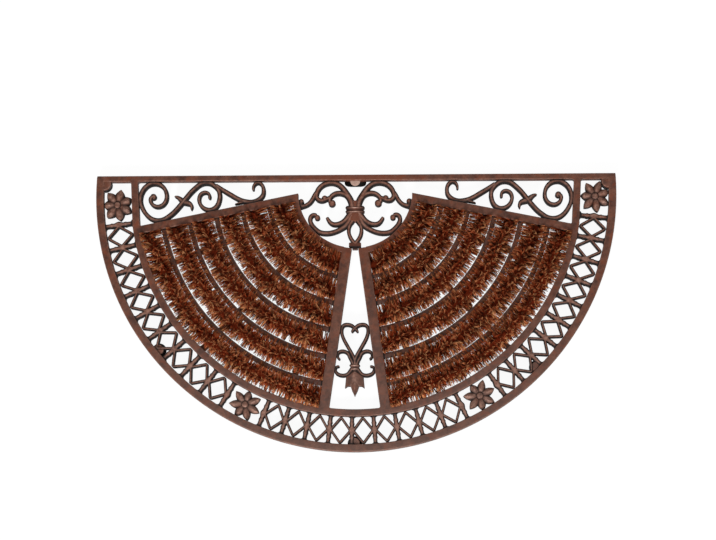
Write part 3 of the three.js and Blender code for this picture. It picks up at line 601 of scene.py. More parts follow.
# Upper bars, wedge bars and hub arcs
# The outline of each grid: a sloping bar along its top, a bar that leans out
# beside the middle window, and the round of the hub between them.
wedge_bar_width, wedge_lean, wedge_throat = 14.7, np.radians(7.85), 4.4
wedge_window = line_through((-wedge_throat, -hub_radius), -np.pi / 2 - wedge_lean)
wedge_grid = beside(wedge_window, -wedge_bar_width)


def row_ends(radius):
    """The angles at which a row of that radius leaves the upper bar and meets the wedge bar."""
    return [np.arctan2(*meet(line, radius).T[::-1]) % (2 * np.pi)
            for line in (upper_low, wedge_grid)]


upper_corner = (-hub_radius, upper_low[0][1] + (-hub_radius - upper_low[0][0])
                * upper_low[1][1] / upper_low[1][0])
upper_bar = cast_bar([upper_top[0], meet(upper_top, inner_rim_inner)],
                     [upper_corner, meet(upper_low, inner_rim_inner)],
                     frame_low, frame_high - 0.2, roots=(0, 3.0), tips=(0.8, 0))
wedge_bar = cast_bar([meet(wedge_window, hub_radius + 1), meet(wedge_window, inner_rim_inner)],
                     [meet(wedge_grid, hub_radius + 1), meet(wedge_grid, inner_rim_inner)],
                     frame_low, frame_high - 0.2, roots=(0, 3.0), tips=(0.8, 0))
hub_arc = cast_bar(*arc_edges(hub_radius, hub_outer, *row_ends(hub_middle), 0.8),
                   frame_low, frame_high - 0.3, step=2.5, roots=(3.0, 3.0), fillet=0.01)
for side, hand in hands:
    add_iron(f"grid_top_{hand}", [upper_bar], f"upper_bar_{hand}", side)
    add_iron(f"grid_side_{hand}", [wedge_bar], f"wedge_bar_{hand}", side)
    add_iron(f"hub_round_{hand}", [hub_arc], f"hub_arc_{hand}", side)

# Ribs
# Five thin arcs a side that part the rows of brush. They lie a little lower
# than the bars, and stand on the cross bars.
rows, rib_width = 6, 7.5
row_pitch = (inner_rim_middle - hub_middle) / rows
rib_low, rib_high = 9.0, 17.0
for row in range(1, rows):
    middle = inner_rim_middle - row_pitch * (rows - row)
    points, faces, worn_or_lit, deep = cast_bar(
        *arc_edges(middle - rib_width / 2, middle + rib_width / 2, *row_ends(middle)),
        rib_low, rib_high, shoulder=1.5, drop=1.5, step=3.5, roots=(2.0, 2.0))
    # Less wear than the bars, and a floor of painted shade all over, as the ribs lie lower.
    rib = points, faces, worn_or_lit * 0.3, np.maximum(deep, 0.22)
    add_pair("row_rib", [rib], "rib", f"_{row}",
             [straight_wall(*upper_low), straight_wall(*wedge_grid)])

# Cross bars
# Three low bars a side, laid like spokes under the ribs. The brushes lie on
# them, and they show in the gaps beside each brush.
cross_turns, cross_width, cross_high = np.radians([21.0, 46.0, 72.0]), 9.0, 9.0
for k, turn in enumerate(cross_turns, 1):
    spoke = line_through((0, 0), np.pi + turn)
    sides = [beside(spoke, cross_width / 2), beside(spoke, -cross_width / 2)]
    spoke_bar = cast_bar(*[[meet(s, hub_outer), meet(s, inner_rim_inner)] for s in sides],
                         frame_low, cross_high, shoulder=2.2, drop=1.4, step=6.0,
                         roots=(2.0, 2.0))
    add_pair("spoke", [spoke_bar], "cross_bar", f"_{k}")

# Coir finish
# Stiff coconut fibre, matted at the wire: red brown along the strand and golden at the cut
# tips, no two strands quite alike, with painted shade that darkens each strand towards the wire.
coir_root_shade = shade(44, 12, 5)
coir_red = shade(186, 66, 25)
coir_gold = shade(236, 166, 112)
coir_brown = shade(58, 17, 7)

coir_finish, tree = new_finish("coconut_fibre")
tone, along = mark(tree, "tone"), mark(tree, "along")
place = add_node(tree, "ShaderNodeTexCoord").outputs["Object"]
strand = mix_colours(tree, spread(tree, tone, 0.05, 0.55), coir_brown, coir_red)
strand = mix_colours(tree, spread(tree, tone, 0.55, 0.95), strand, coir_gold)
strand = mix_colours(tree, spread(tree, along, 0.65, 1.0, 0.0, 0.20), strand, coir_gold)
# Painted shade: towards the wire each strand goes to the near-black root colour
strand = mix_colours(tree, spread(tree, along, 0.22, 0.80), coir_root_shade, strand)
fleck = noise(tree, place, 700.0, 2.0)
strand = mix_colours(tree, spread(tree, fleck, 0.50, 0.70, 0.0, 0.35), strand, coir_brown)
surface(tree, {"Base Color": strand, "Roughness": 0.8, "Specular IOR Level": 0.06})

wire_finish, tree = new_finish("twisted_wire")
place = add_node(tree, "ShaderNodeTexCoord").outputs["Object"]
weather = laid_in(tree, weathered, place, Plain=shade(96, 88, 84), Dark=shade(58, 48, 42),
                  Rust=shade(118, 66, 40), Patch=160.0)
surface(tree, {"Base Color": weather.outputs["Color"], "Roughness": 0.45, "Metallic": 0.8})

# Brushes
# One a row: coir caught between two wires that are twisted together, so it
# fans out all round in locks. Each springs a little straighter than its row
# and leaves a gap on its outer side, where its tips stand clear.
wire_height = 12.8
wire_throw, wire_half, twist_pitch = 0.8, 0.85, 8.5
core_half, core_half_high, core_sides, core_step = 8.6, 3.9, 14, 1.1
# The core's share along puts it deep in the painted shade of the strands' roots
core_tone, core_along = 0.4, 0.42
channel_half = (row_pitch - rib_width) / 2 - 0.3
brush_set, brush_spring, spring_reach = 3.0, 9.8, 19.0
reach_side, reach_up, reach_down = 24.0, 10.4, 7.0
tip_lowest, tip_highest = 5.2, 23.4
over_rib_from, over_bar_from = rib_high + 0.6, frame_high + 0.8
spoke_room = 6.0
strands_per_mm = 33
strands_a_lock = 4
low_lock_share = 0.24
low_turns, high_turns = (1.05, 1.95), (-0.05, 1.05)
row_slack, past_ends, lock_margin, strand_margin = 1.0, 2.5, 1.2, 0.5
high_tip_past, low_tip_short = 2.2, 0.3
# Locks on the inner side are given a darker tone, as painted shade
inner_shade_share = 0.78
inner_lap, inner_lap_more, outer_lap, outer_lap_full = 3.8, 3.2, 1.2, 13
strand_thickness = 0.31
row_fullness = {"left": (0.16, 0.06, -0.03, 0.02, -0.03, -0.04),
                "right": (0.22, 0.15, -0.02, -0.02, 0.24, -0.12)}


def brush_place(row, run, offset):
    """Plan points on a row at shares of its run, offset outward in millimetres from the
    brush's middle; also the outward way and how far out that middle lies. It is set inward in
    its channel, and springs out towards each end: with d the distance from the nearer end it
    lies at radius - set + spring exp(-(d / reach)^1.5)."""
    middle = inner_rim_middle - row_pitch * (rows - row + 0.5)
    start, end = row_ends(middle)
    from_end = np.minimum(run, 1 - run) * (end - start) * middle
    radius = middle - brush_set + brush_spring * np.exp(-(from_end / spring_reach) ** 1.5)
    start, end = row_ends(radius)
    angle = start * (1 - run) + end * run
    out = np.column_stack([np.cos(angle), np.sin(angle)])
    return (radius + offset)[:, None] * out, out, radius - middle


def strand_ends(row, full, seed, rng):
    """Where a row's bristles start and end. The tips lie on an ellipse round the wire, drawn
    together in locks, and are held off the ribs and the spokes. A lock's turn about the wire is
    in half turns, from 0 outward through 0.5 upward. Its length is a share of that ellipse and
    swells in two waves along the row. Outer locks are longer by 0.31 exp(-(e / 37)^2), with e
    the distance from the nearer end, and by the share full, and then reach over the rib. Inner
    ones are longer by 0.2 exp(-(s / 15)^2), with s the distance from the upper bar. A lock that
    points up leans along the row. Gives the roots, the tips, the outward way at each root, how
    far up its lock points, the lock's tone, and the row's length."""
    middle = inner_rim_middle - row_pitch * (rows - row + 0.5)
    start, end = row_ends(middle)
    length = float((end - start) * middle) - row_slack
    count = int(length * strands_per_mm)
    locks = max(count // strands_a_lock, 1)
    lock_of = rng.integers(0, locks, count)
    lock_run = np.clip(rng.uniform(-past_ends, length + past_ends, locks), lock_margin,
                       length - lock_margin)
    low_lock = rng.random(locks) < low_lock_share
    lock_turn = np.pi * np.where(low_lock, rng.uniform(*low_turns, locks),
                                 rng.uniform(*high_turns, locks))
    outer = np.cos(lock_turn) > 0
    from_end = np.minimum(lock_run, length - lock_run)
    outer_swell = (full - 0.21 + 0.31 * np.exp(-(from_end / 37) ** 2)
                   + 0.09 * np.sin(lock_run / 14 + seed) + 0.08 * np.sin(lock_run / 5 + row))
    inner_swell = (0.05 * np.sin(lock_run / 11 + 3 * seed) + 0.04 * np.sin(lock_run / 4 + seed)
                   + 0.2 * np.exp(-(lock_run / 15) ** 2))
    lock_long = rng.normal(1.0, 0.075, locks) + np.where(outer, outer_swell, inner_swell)
    # Inner locks' tones are scaled down: painted shade on the brush's inner side
    lock_tone = rng.beta(0.5, 0.62, locks) * np.where(outer, 1.0, inner_shade_share)
    upright = np.clip(np.sin(lock_turn), 0, 1)
    lock_lean = rng.normal(0, 1, locks) * (1.3 + 5.0 * upright ** 2)
    at_end = (length - lock_run < 1.3) * 1.0 - (lock_run < 1.3)
    lock_lean = np.where(at_end == 0, lock_lean, at_end * np.abs(lock_lean))

    run = np.clip(lock_run[lock_of] + rng.normal(0, 0.5, count), strand_margin,
                  length - strand_margin)
    turn = lock_turn[lock_of] + rng.normal(0, 0.06, count)
    long = lock_long[lock_of] * rng.normal(0.95, 0.08, count)

    def tip_at(run_mm, turn_by, long_by):
        """Offset outward, place along and height of a tip."""
        up = np.where(np.sin(turn_by) > 0, reach_up, reach_down)
        return (reach_side * long_by * np.cos(turn_by), run_mm,
                wire_height + up * long_by * np.sin(turn_by))

    own = tip_at(run, turn, long)
    shared = tip_at(lock_run, lock_turn, lock_long)
    pull = rng.uniform(0.35, 0.9, count)
    out_mm, run_tip, height = (at + (lock_at[lock_of] - at) * pull
                               for at, lock_at in zip(own, shared))
    run_tip = run_tip + lock_lean[lock_of] + rng.normal(0, 0.4, count)
    past_end = np.where(height > over_bar_from, high_tip_past, -low_tip_short)
    run_tip = np.clip(run_tip, -past_end, length + past_end)

    _, _, shift = brush_place(row, run_tip / length, 0 * run_tip)
    from_channel = out_mm + shift
    inner = from_channel < 0
    lap = np.clip(0.45 + 0.7 * np.sin(run / 23 + seed) + 0.5 * np.sin(run / 8 + 2 * seed), 0, 1)
    over_rib = np.where(height > over_rib_from,
                        np.where(inner, inner_lap + inner_lap_more * lap,
                                 outer_lap + outer_lap_full * max(full, 0)), 0.0)
    limit = channel_half + over_rib - rng.uniform(0, 1, count) * np.where(inner, 0.4, 1.0)
    excess = np.clip(np.abs(from_channel) - limit, 0, None)
    out_mm = out_mm - np.sign(from_channel) * excess
    height = height + excess * rng.uniform(0.2, 1.0, count) * (height < rib_high + 0.5)
    angle = np.arctan2(*brush_place(row, run_tip / length, out_mm)[0].T[::-1]) % (2 * np.pi)
    from_spoke = np.abs(angle[:, None] - np.pi - cross_turns[None, :]) * middle
    lowest = np.where((from_spoke < spoke_room).any(1), cross_high + 0.5, tip_lowest)
    height = np.clip(height, lowest + rng.uniform(0, 0.8, count), tip_highest)

    root, out, _ = brush_place(row, run / length, rng.normal(0, 0.5, count))
    tip = brush_place(row, run_tip / length, out_mm)[0]
    root = np.column_stack([root, wire_height + rng.normal(0, 0.5, count)])
    tip = np.column_stack([tip, height])
    return root, tip, out, upright[lock_of], lock_tone[lock_of], length


def strands(row, full, seed):
    """A row's bristles, as one shell of three-sided rods cut square, and the row's length. The
    point at t on a rod is root + (tip - root) t + bend 4t(1 - t), and its thickness there is
    (1 - 0.3 t) of that at the root. An upright one curls more."""
    rng = np.random.default_rng(seed)
    root, tip, out, upright, lock_tone, length = strand_ends(row, full, seed, rng)
    count = len(root)
    curl = (0.5 + 0.7 * upright)[:, None]
    beside_it = np.column_stack([-out[:, 1], out[:, 0]])
    bend = np.column_stack([curl * (out * rng.normal(0, 1, (count, 1))
                                    + beside_it * rng.normal(0, 1, (count, 1))),
                            rng.normal(0.3, 0.5, count)])
    line = tip - root
    sideways = np.cross(line, [0.13, 0.21, 0.97])
    sideways /= np.linalg.norm(sideways, axis=1)[:, None]
    over = np.cross(line, sideways)
    over /= np.linalg.norm(over, axis=1)[:, None]
    thick = strand_thickness * rng.uniform(0.7, 1.35, count)

    t = np.array([0.0, 0.55, 1.0])[None, :, None, None]
    a = np.radians([90, 210, 330])[None, None, :, None]
    centre = root[:, None, None] + line[:, None, None] * t + bend[:, None, None] * 4 * t * (1 - t)
    ring = (thick[:, None, None, None] * (1 - 0.3 * t)
            * (np.cos(a) * sideways[:, None, None] + np.sin(a) * over[:, None, None]))
    share = np.tile(np.repeat(t.ravel(), 3), count)
    tone_of = np.clip(lock_tone + rng.normal(0, 0.14, count), 0, 1)

    quads = [(k * 3 + j, k * 3 + (j + 1) % 3, k * 3 + 3 + (j + 1) % 3, k * 3 + 3 + j)
             for k in (0, 1) for j in range(3)]
    corners = np.array(sum(map(list, quads), []) + [6, 7, 8, 2, 1, 0])
    sizes = np.array([4] * 6 + [3] * 2)
    all_corners = (corners[None] + 9 * np.arange(count)[:, None]).ravel()
    faces = all_corners, np.tile(sizes, count)
    return ((centre + ring).reshape(-1, 3), faces, np.repeat(tone_of, 9), share), length


def tube(row, run, offset, height, half_across, half_up, sides, lumps=None):
    """A round of the given half width and half height, carried along a row at an offset
    outward and a height; lumps, one for each point, make it thicker or thinner there."""
    length = run[-1]
    centre, out, _ = brush_place(row, run / length, offset)
    a = np.linspace(0, 2 * np.pi, sides, endpoint=False)[None, :]
    thick = 1.0 if lumps is None else 1 + lumps
    rings = np.dstack([centre[:, :1] + out[:, :1] * half_across * thick * np.cos(a),
                       centre[:, 1:] + out[:, 1:] * half_across * thick * np.cos(a),
                       height[:, None] + half_up * thick * np.sin(a)])
    return skin_of(rings)


def add_brush(hand, row, side, seed):
    """A brush as one piece: its strands, the matted middle they spring from, and two wires
    that go round each other, each at (r cos w, r sin w) beside the brush's line."""
    fibre, length = strands(row, row_fullness[hand][row - 1], seed)
    run = np.linspace(0, length, int(length / core_step))
    core_run, flat = run[2:-2], 0 * run[2:-2]
    lumps = np.random.default_rng(seed + 500).normal(0, 0.09, (len(core_run), core_sides))
    tubes = [tube(row, core_run, flat, flat + wire_height, core_half, core_half_high,
                  core_sides, lumps)]
    for phase in (0.0, np.pi):
        w = run * 2 * np.pi / twist_pitch + phase
        tubes.append(tube(row, run, wire_throw * np.cos(w), wire_height + wire_throw * np.sin(w),
                          wire_half, wire_half, 6))
    tubes = [(points, faces, np.full(len(points), core_tone), np.full(len(points), core_along))
             for points, faces in tubes]
    add_piece(f"coir_{hand}_{row}", [fibre] + tubes,
              [coir_finish, coir_finish, wire_finish, wire_finish],
              [f"brush_{hand}_{row}"], side, marks=("tone", "along"), crease=None)


for row in range(1, rows + 1):
    add_brush("left", row, 1, 10 + row)
    add_brush("right", row, -1, 30 + row)

# Feet
# Round black rubber pads pressed on under the bosses, wider than them, so a
# black ring shows round each boss from above.
rubber_finish, tree = new_finish("black_rubber")
place = add_node(tree, "ShaderNodeTexCoord").outputs["Object"]
dust = laid_in(tree, settled_dust, place, Amount=0.25)
skin = laid_in(tree, sand_skin, place, Grain=1500.0)
bump = add_node(tree, "ShaderNodeBump", {"Height": skin.outputs["Height"], "Strength": 0.2,
                                         "Distance": 0.0003})
colour = mix_colours(tree, dust.outputs["Mask"], shade(22, 20, 19), shade(92, 82, 74))
surface(tree, {"Base Color": colour, "Roughness": 0.72, "Normal": bump.outputs["Normal"]})

foot_profile = [(8.4, 0.0), (9.7, 0.25), (10.3, 0.9), (10.5, 2.6), (10.4, 3.4), (9.9, 3.9),
                (8.0, 3.95)]
back_foot_place = (0.0, 17.7)
back_foot_length, back_foot_depth = 1.50, 0.74
feet = {"left_corner": corner_foot_places[0], "right_corner": corner_foot_places[1],
        "left_rim": rim_foot_places[0], "middle_rim": rim_foot_places[1],
        "right_rim": rim_foot_places[2], "middle_back": back_foot_place}
for label, spot in feet.items():
    points, faces, worn_or_lit, deep = turned(foot_profile, spot, 40)
    if label == "middle_back":
        # Its round is filled out to |x|^4 + |y|^4 = 1, then made longer and less deep
        x, y = points[:, 0] - spot[0], points[:, 1] - spot[1]
        c, s = np.abs(x) / np.hypot(x, y), np.abs(y) / np.hypot(x, y)
        fuller = (c ** 4 + s ** 4) ** (-1 / 4)
        points = np.column_stack([spot[0] + x * fuller * back_foot_length,
                                  spot[1] + y * fuller * back_foot_depth, points[:, 2]])
    add_piece(f"pad_{label}", [(points, faces, worn_or_lit, deep)], rubber_finish,
              [f"foot_{label}"])

# Flowers
# Four in the frieze, each of seven pointed petals with a raised rib, round a
# domed boss. The petals that point at the rims are cast on to them.
scroll_high = 17.2
band_middle, band_half = 344.5, 19.5
flower_radius, petals = 23.3, 7
flower_boss_radius, flower_boss_rise = 4.7, 2.8
flower_places = np.radians([-87.1, -26.9, 30.9, 88.6])
flower_leans = np.radians([-3.0, 189.0, 189.0, 22.0])
flower_valleys = (16.4, 13.8, 13.8, 14.6)


def turn_shell(shell, turn):
    """A shell drawn at the bottom of the band, carried round the arcs' centre."""
    points, faces, worn_or_lit, deep = shell
    c, s = np.cos(turn), np.sin(turn)
    x, y, z = points.T
    return np.column_stack([x * c - y * s, x * s + y * c, z]), faces, worn_or_lit, deep


def flower(lean, valley):
    """Rings of points from the foot of the wall up to the boss. With p from 0 on a petal's rib
    to 1 in the valley beside it, the edge lies at valley + (tip - valley)(1 - p), and the
    top at height - fall + (2 (1 - p)^2 - 1.5 p) s, with s the share of the way out. Painted
    shade lies in the valleys, by 0.26 p^4, and round the edge."""
    around = petals * 14
    a = np.linspace(0, 2 * np.pi, around, endpoint=False)
    nearest = np.round(a * petals / (2 * np.pi)) * 2 * np.pi / petals
    p = np.abs(a - nearest) * petals / np.pi
    room = (band_half + 1.0) / np.abs(np.cos(nearest + lean))
    edge = valley + (np.minimum(flower_radius, room) - valley) * (1 - p)
    a = a + lean - np.pi / 2
    levels = [(1.0, 4.4), (0.97, 3.5), (0.90, 2.7), (0.78, 1.9), (0.64, 1.3), (0.50, 1.1),
              (0.40, 1.5), (0.32, 2.4)]
    flat = 0 * a
    layers = [(edge, flat + frame_low, flat, 0.26 * p ** 4 + 0.7)]
    # Petal ribs run paler, partly wear and partly painted highlight; valleys and the edge take
    # painted shade
    for share, fall in levels:
        layers.append((edge * share,
                       scroll_high - fall + (2.0 * (1 - p) ** 2 - 1.5 * p) * share,
                       1.38 * np.clip(2 - 2.6 * p, 0, 1) * share ** 0.5,
                       0.26 * p ** 4 + (0.7 if share > 0.99 else 0.0)))
    # The boss: a painted highlight ring round its dome
    for q in np.linspace(0, np.pi / 2, 6)[:-1]:
        layers.append((flat + flower_boss_radius * np.cos(q),
                       flat + frame_high - flower_boss_rise * (1 - np.sin(q)),
                       flat + 1.2 * np.sin(2 * q), flat + 0.4 * np.cos(q) ** 4))
    r, z, worn_or_lit, shade_added = np.array(layers).transpose(1, 0, 2)
    points, faces = skin_of(np.dstack([r * np.cos(a), r * np.sin(a) - band_middle, z]))
    # Depth below the top, with the valleys and edge added, gives painted shade
    deep = (frame_high - points[:, 2]) / (frame_high - frame_low) + shade_added.ravel()
    return points, faces, worn_or_lit.ravel(), np.clip(deep, 0, 1)


band_walls = [round_wall(band_inner), round_wall(rim_inner)]
flower_labels = ("left_corner", "left_band", "right_band", "right_corner")
for place, lean, valley, label in zip(flower_places, flower_leans, flower_valleys, flower_labels):
    add_iron(f"bloom_{label}", [turn_shell(flower(lean, valley), place)], f"flower_{label}",
             walls=band_walls)

# Frieze panels
# Three runs of openwork between the rims: upright balusters with a swelling
# in the middle, and a pierced lozenge between each two.
panel_pitches = 9
flower_room = 29.5 / band_middle
band_reach = 19.2


def baluster():
    """An upright bar whose half width is 2.9 + 2.1 exp(-(v / 4.6)^2)
    + 0.8 exp(-((|v| - 10) / 1.5)^2) at v from its middle."""
    v = np.linspace(-band_reach, band_reach, 60)
    half = 2.9 + 2.1 * np.exp(-(v / 4.6) ** 2) + 0.8 * np.exp(-((np.abs(v) - 10) / 1.5) ** 2)
    return upright(v - band_middle, half, scroll_high, shoulder=2.6, drop=2.4, step=0.9,
                   roots=(2.2, 2.2), fillet=2.4, ridged=True)


def lozenge(pitch):
    """A closed stroke along the four sides of a diamond, its corners rounded."""
    tip_x, tip_y = pitch * band_middle / 2 - 2.0, band_reach - 1.2
    corner = np.array([[tip_x, 0], [0, tip_y], [-tip_x, 0], [0, -tip_y]])
    t = np.linspace(0, 4, 160, endpoint=False)
    k = t.astype(int)
    line = corner[k] + (corner[(k + 1) % 4] - corner[k]) * (t - k)[:, None]
    kernel = np.array([1, 2, 3, 2, 1]) / 9
    for _ in range(2):
        line = sum(w * np.roll(line, s, axis=0) for w, s in zip(kernel, range(-2, 3)))
    way = np.roll(line, -1, axis=0) - np.roll(line, 1, axis=0)
    normal = np.column_stack([way[:, 1], -way[:, 0]]) / np.hypot(*way.T)[:, None]
    line = line + [0, -band_middle]
    half = 1.9
    return cast_bar(line - normal * half, line + normal * half, frame_low, scroll_high - 0.1,
                    shoulder=half, drop=half, step=1.0, closed=True, ridged=True)


for k, label in enumerate(("left", "middle", "right")):
    first, last = flower_places[k] + flower_room, flower_places[k + 1] - flower_room
    pitch = (last - first) / panel_pitches
    shells = [turn_shell(lozenge(pitch) if j % 2 else baluster(), first + pitch * j / 2)
              for j in range(2 * panel_pitches + 1)]
    add_iron(f"frieze_{label}", shells, f"band_panel_{label}", walls=band_walls)


# Side scrolls
# In each bay between the back bar and a grid: an S of two volutes that end in
# a ball, a leaf at its waist, and a hook beside it. Half-round strokes.
def through(points, at):
    """A smooth line through points: at k + t it is half of 2b + (c - a)t
    + (2a - 5b + 4c - d)t^2 + (3b - a - 3c + d)t^3, with a, b, c, d the points k-1 to k+2."""
    p = np.asarray(points, float)
    p = p[:, None] if p.ndim == 1 else p
    k = np.clip(np.floor(at).astype(int), 0, len(p) - 2)
    t = (at - k)[:, None]
    a, b, c, d = (p[np.clip(k + j, 0, len(p) - 1)] for j in (-1, 0, 1, 2))
    return 0.5 * (2 * b + (c - a) * t + (2 * a - 5 * b + 4 * c - d) * t ** 2
                  + (3 * b - a - 3 * c + d) * t ** 3)


def eased(line, reach):
    """An even line with each point brought to the mean of its neighbours, reach of them to
    each side and weighted by 1 + cos(pi k / (reach + 1)); past an end the line is turned over."""
    k = np.arange(-reach, reach + 1)
    share = 1 + np.cos(np.pi * k / (reach + 1))
    whole = np.vstack([2 * line[0] - line[reach:0:-1], line,
                       2 * line[-1] - line[-2:-reach - 2:-1]])
    return np.column_stack([np.convolve(c, share / share.sum(), "valid") for c in whole.T])


def stroke(points, widths, high, drop=3.0, tips=(1.5, 1.5)):
    """A stroke of scrollwork along a smooth line, its width smooth through the given ones."""
    line = through(points, np.linspace(0, len(points) - 1, 40 * len(points)))
    run = np.r_[0, np.cumsum(np.hypot(*np.diff(line, axis=0).T))]
    even = np.linspace(0, run[-1], int(run[-1] / 0.5) + 2)
    line = np.column_stack([np.interp(even, run, c) for c in line.T])
    line = eased(line, min(6, len(line) - 2))
    half = through(widths, even / even[-1] * (len(widths) - 1))[:, 0] / 2
    way = np.gradient(line, axis=0)
    normal = np.column_stack([-way[:, 1], way[:, 0]]) / np.hypot(*way.T)[:, None]
    return cast_bar(line + normal * half[:, None], line - normal * half[:, None], frame_low, high,
                    shoulder=9.0, drop=drop, step=1.5, roots=(0, 0), tips=tips, crown=0.0,
                    ridged=True)


def ball(place, radius, high):
    """The round end of a volute: an upright wall under a dome, radius cos t across at
    high - 0.75 radius (1 - sin t)."""
    sides = 28
    q = np.linspace(0, np.pi / 2, 8)[:-1]
    profile = [(radius * 0.92, frame_low), (radius, frame_low + 1)] + [
        (radius * np.cos(t), high - radius * 0.75 * (1 - np.sin(t))) for t in q]
    # Painted highlight on the top of the dome, and painted shade down its flank and wall
    points, faces, worn_or_lit, _ = turned(profile, place, sides, [0, 0] + list(np.sin(q) ** 5))
    return points, faces, worn_or_lit, np.repeat([1.0, 0.9] + list(0.7 * (1 - np.sin(q))), sides)


post_corner = np.array([post_sides[1], bar_front])
side_strokes = [
    ([(23.9, -21.2), (19.4, -23.6), (18.7, -28.2), (21.4, -33.3), (26.8, -36.4), (32.6, -36.2),
      (37.8, -33.1), (41.3, -27.6), (42.2, -21.5), (41, -14.6), (37.6, -8.6), (32, -4),
      (25.2, -2.1), (18.9, -2.7), (13.5, -5.6), (8.8, -10.2), (5.2, -17.3), (3.8, -25.2),
      (5, -33.5), (9.8, -43.6), (16.1, -51.2), (23.2, -55.6), (31.5, -57), (39.6, -55),
      (46.8, -50.2), (53.7, -44.3), (62.5, -34.2), (69.8, -24.8), (77.6, -15.2), (87.7, -5.8),
      (93.4, -2.6), (99.2, -1.7), (105.5, -2.7), (111.6, -6.6), (117.2, -13.1), (119.2, -20),
      (118.8, -26.4), (117.2, -32.4), (114, -37.6), (108.4, -41.3), (102.6, -41.7),
      (96.8, -39.6), (92.2, -35.4), (89.5, -29.6), (89.2, -24.2), (91.2, -19), (95.1, -16.3),
      (99.4, -15.9), (103.1, -17.9), (104.6, -21.4), (103.9, -25.6)],
     [5.6, 5.4, 5.8] + [6.5] * 9 + [6, 5.2, 4.2]),
    ([(112.8, -5.2), (118.6, -9.2), (125, -13.6), (135.7, -20.1), (143.4, -24.7),
      (151.2, -28.3), (158.9, -30.1), (164.7, -30.6), (171, -29.4), (177.7, -25.5),
      (181.9, -19.9), (182.6, -13.5), (181.6, -8.1), (178.7, -3.9), (174.6, -1.9),
      (170.2, -3.7), (167.5, -8.5), (167.6, -13.4)],
     [5, 6.4, 6.4, 6.4, 6.2, 5, 3.4]),
    ([(53.3, -21.9), (57.2, -22.6), (60.9, -25.1), (66.2, -29.8)], [1.6, 4.8, 7.4, 8.2]),
    ([(66.2, -29.8), (72.6, -31.3), (77, -33.5), (78.8, -37.4), (77.8, -42.1)],
     [8.2, 8.0, 6.6, 4.6, 1.6]),
    ([(141, -33.8), (144.6, -32.7), (149.3, -31.2), (155.1, -29.5)], [0.8, 2.0, 3.2, 4.4]),
]
# Each stroke lies a little lower than the one before, so no two tops share a plane
side_fall, hub_fall, heart_fall = 0.08, 0.06, 0.06
side_shells = [stroke(np.array(points) + post_corner, widths, scroll_high - side_fall * k)
               for k, (points, widths) in enumerate(side_strokes)]
side_shells.append(ball(post_corner + (22.7, -21.9), 4.5, scroll_high))
bar_wall = straight_wall((0, bar_front), (1, 0))
add_pair("volutes", side_shells, "side_scroll",
         walls=[bar_wall, straight_wall(*upper_top), straight_wall((post_sides[1], 0), (0, 1))])

# Hub scrollwork
# Two mirrored branches in the half round of the hub, bound by a collar of two
# rings, with an almond below it and a knot where the wedge bars part.
hub_strokes = [
    ([(-4.4, -25), (-5, -18), (-6.8, -12), (-11.6, -3.6), (-17, 4.6), (-23.6, 10.8), (-32, 13.6),
      (-40.4, 13), (-47.6, 9.7), (-53, 3.9), (-55.6, -2.8), (-55.2, -8.6), (-51.7, -12),
      (-46.3, -12.6), (-41.5, -10.5), (-36, -8.5)],
     [9.6, 9.6, 8.4, 7.2, 6.8, 6.8, 6.8, 6.2, 5.8]),
    ([(-8, -11), (-12.4, -5.4), (-17.4, -2.6), (-23.4, -1.6), (-29.4, -2.8), (-34.2, -6.2),
      (-36.9, -10.6), (-36.4, -15)], [7, 6.8, 6.5, 6.1, 5.4]),
    ([(-55.5, -0.5), (-58.4, -4.8), (-61.3, -10.4), (-64.8, -15.2), (-69, -18.6), (-74, -20.4),
      (-82, -21.4)], [6.1, 6.1, 5.8, 5.8, 9]),
    ([(-78, -14), (-79, -21)], [6.8, 6.8]),
    ([(-4, -29), (-10.3, -37.4), (-16.1, -43.4), (-23.3, -47), (-30.5, -47.6), (-35.5, -45.1),
      (-38.6, -40.9), (-40.8, -37.2)], [9.5, 8.8, 7.6, 6.8, 6.3, 5.7, 4.5]),
    ([(-4.4, -33), (-11.8, -47.4), (-19.7, -53.9), (-28, -58.1), (-36.4, -60.3), (-44.8, -60.4),
      (-51.6, -58.6), (-57.4, -54.1), (-62.4, -48), (-64.8, -41.3), (-63.4, -35.6),
      (-59.2, -33.2), (-55.4, -34.8)], [9.5, 8.2, 6.5, 6.5, 6.8, 6.5, 5.2]),
    ([(-2.4, -36), (-3.6, -42.6), (-7, -47.4), (-9, -53.2), (-9, -59.6), (-7, -66.2), (-3, -72.5),
      (1, -77)], [8.2, 6.5, 5.5, 5.5, 5.5, 5.5, 6.1]),
]
hub_balls = [(-33.3, -16.4, 5.1), (-54.4, -37.4, 4), (-43.9, -9.4, 4.5), (-78, -14, 4.1)]


def collar(width, length, top):
    """A block across the strokes. Its half width and its height rise together in two rings,
    by sin^4 of the way along, twice over. The rings carry a painted highlight on top, and
    painted shade at their ends and in the grooves between them."""
    y = np.linspace(top, top - length, 49)
    ring = np.sin(np.linspace(0, 2 * np.pi, 49)) ** 4
    half = width / 2 - 1.4 * (1 - ring)
    points, faces, worn_or_lit, deep = upright(y, half, frame_high, shoulder=1.6, drop=1.6, step=0.45,
                                        roots=(0, 0), tips=(0.6, 0.6))
    share = np.clip((top - points[:, 1]) / length, 0, 1)
    dip = 1 - np.sin(2 * np.pi * share) ** 4
    above = np.clip((points[:, 2] - frame_low) / (frame_high - frame_low), 0, 1)
    points = points - np.column_stack([0 * dip, 0 * dip, 1.3 * dip * above])
    end = np.abs(points[:, 0]) * 2 / width > 0.74
    crest_highlight = (1 - dip) ** 4 * (above > 0.8) * ~end
    return points, faces, worn_or_lit * 0.2 + 3.0 * crest_highlight, np.maximum(deep, np.where(end, 0.5, 0.25 * dip))


def more_shaded(shell):
    """A shell with more painted shade on its flanks and a fainter painted highlight on its ridge.
    """
    points, faces, worn_or_lit, deep = shell
    return points, faces, worn_or_lit * 0.8, np.minimum(deep * 1.35 + 0.05, 1)


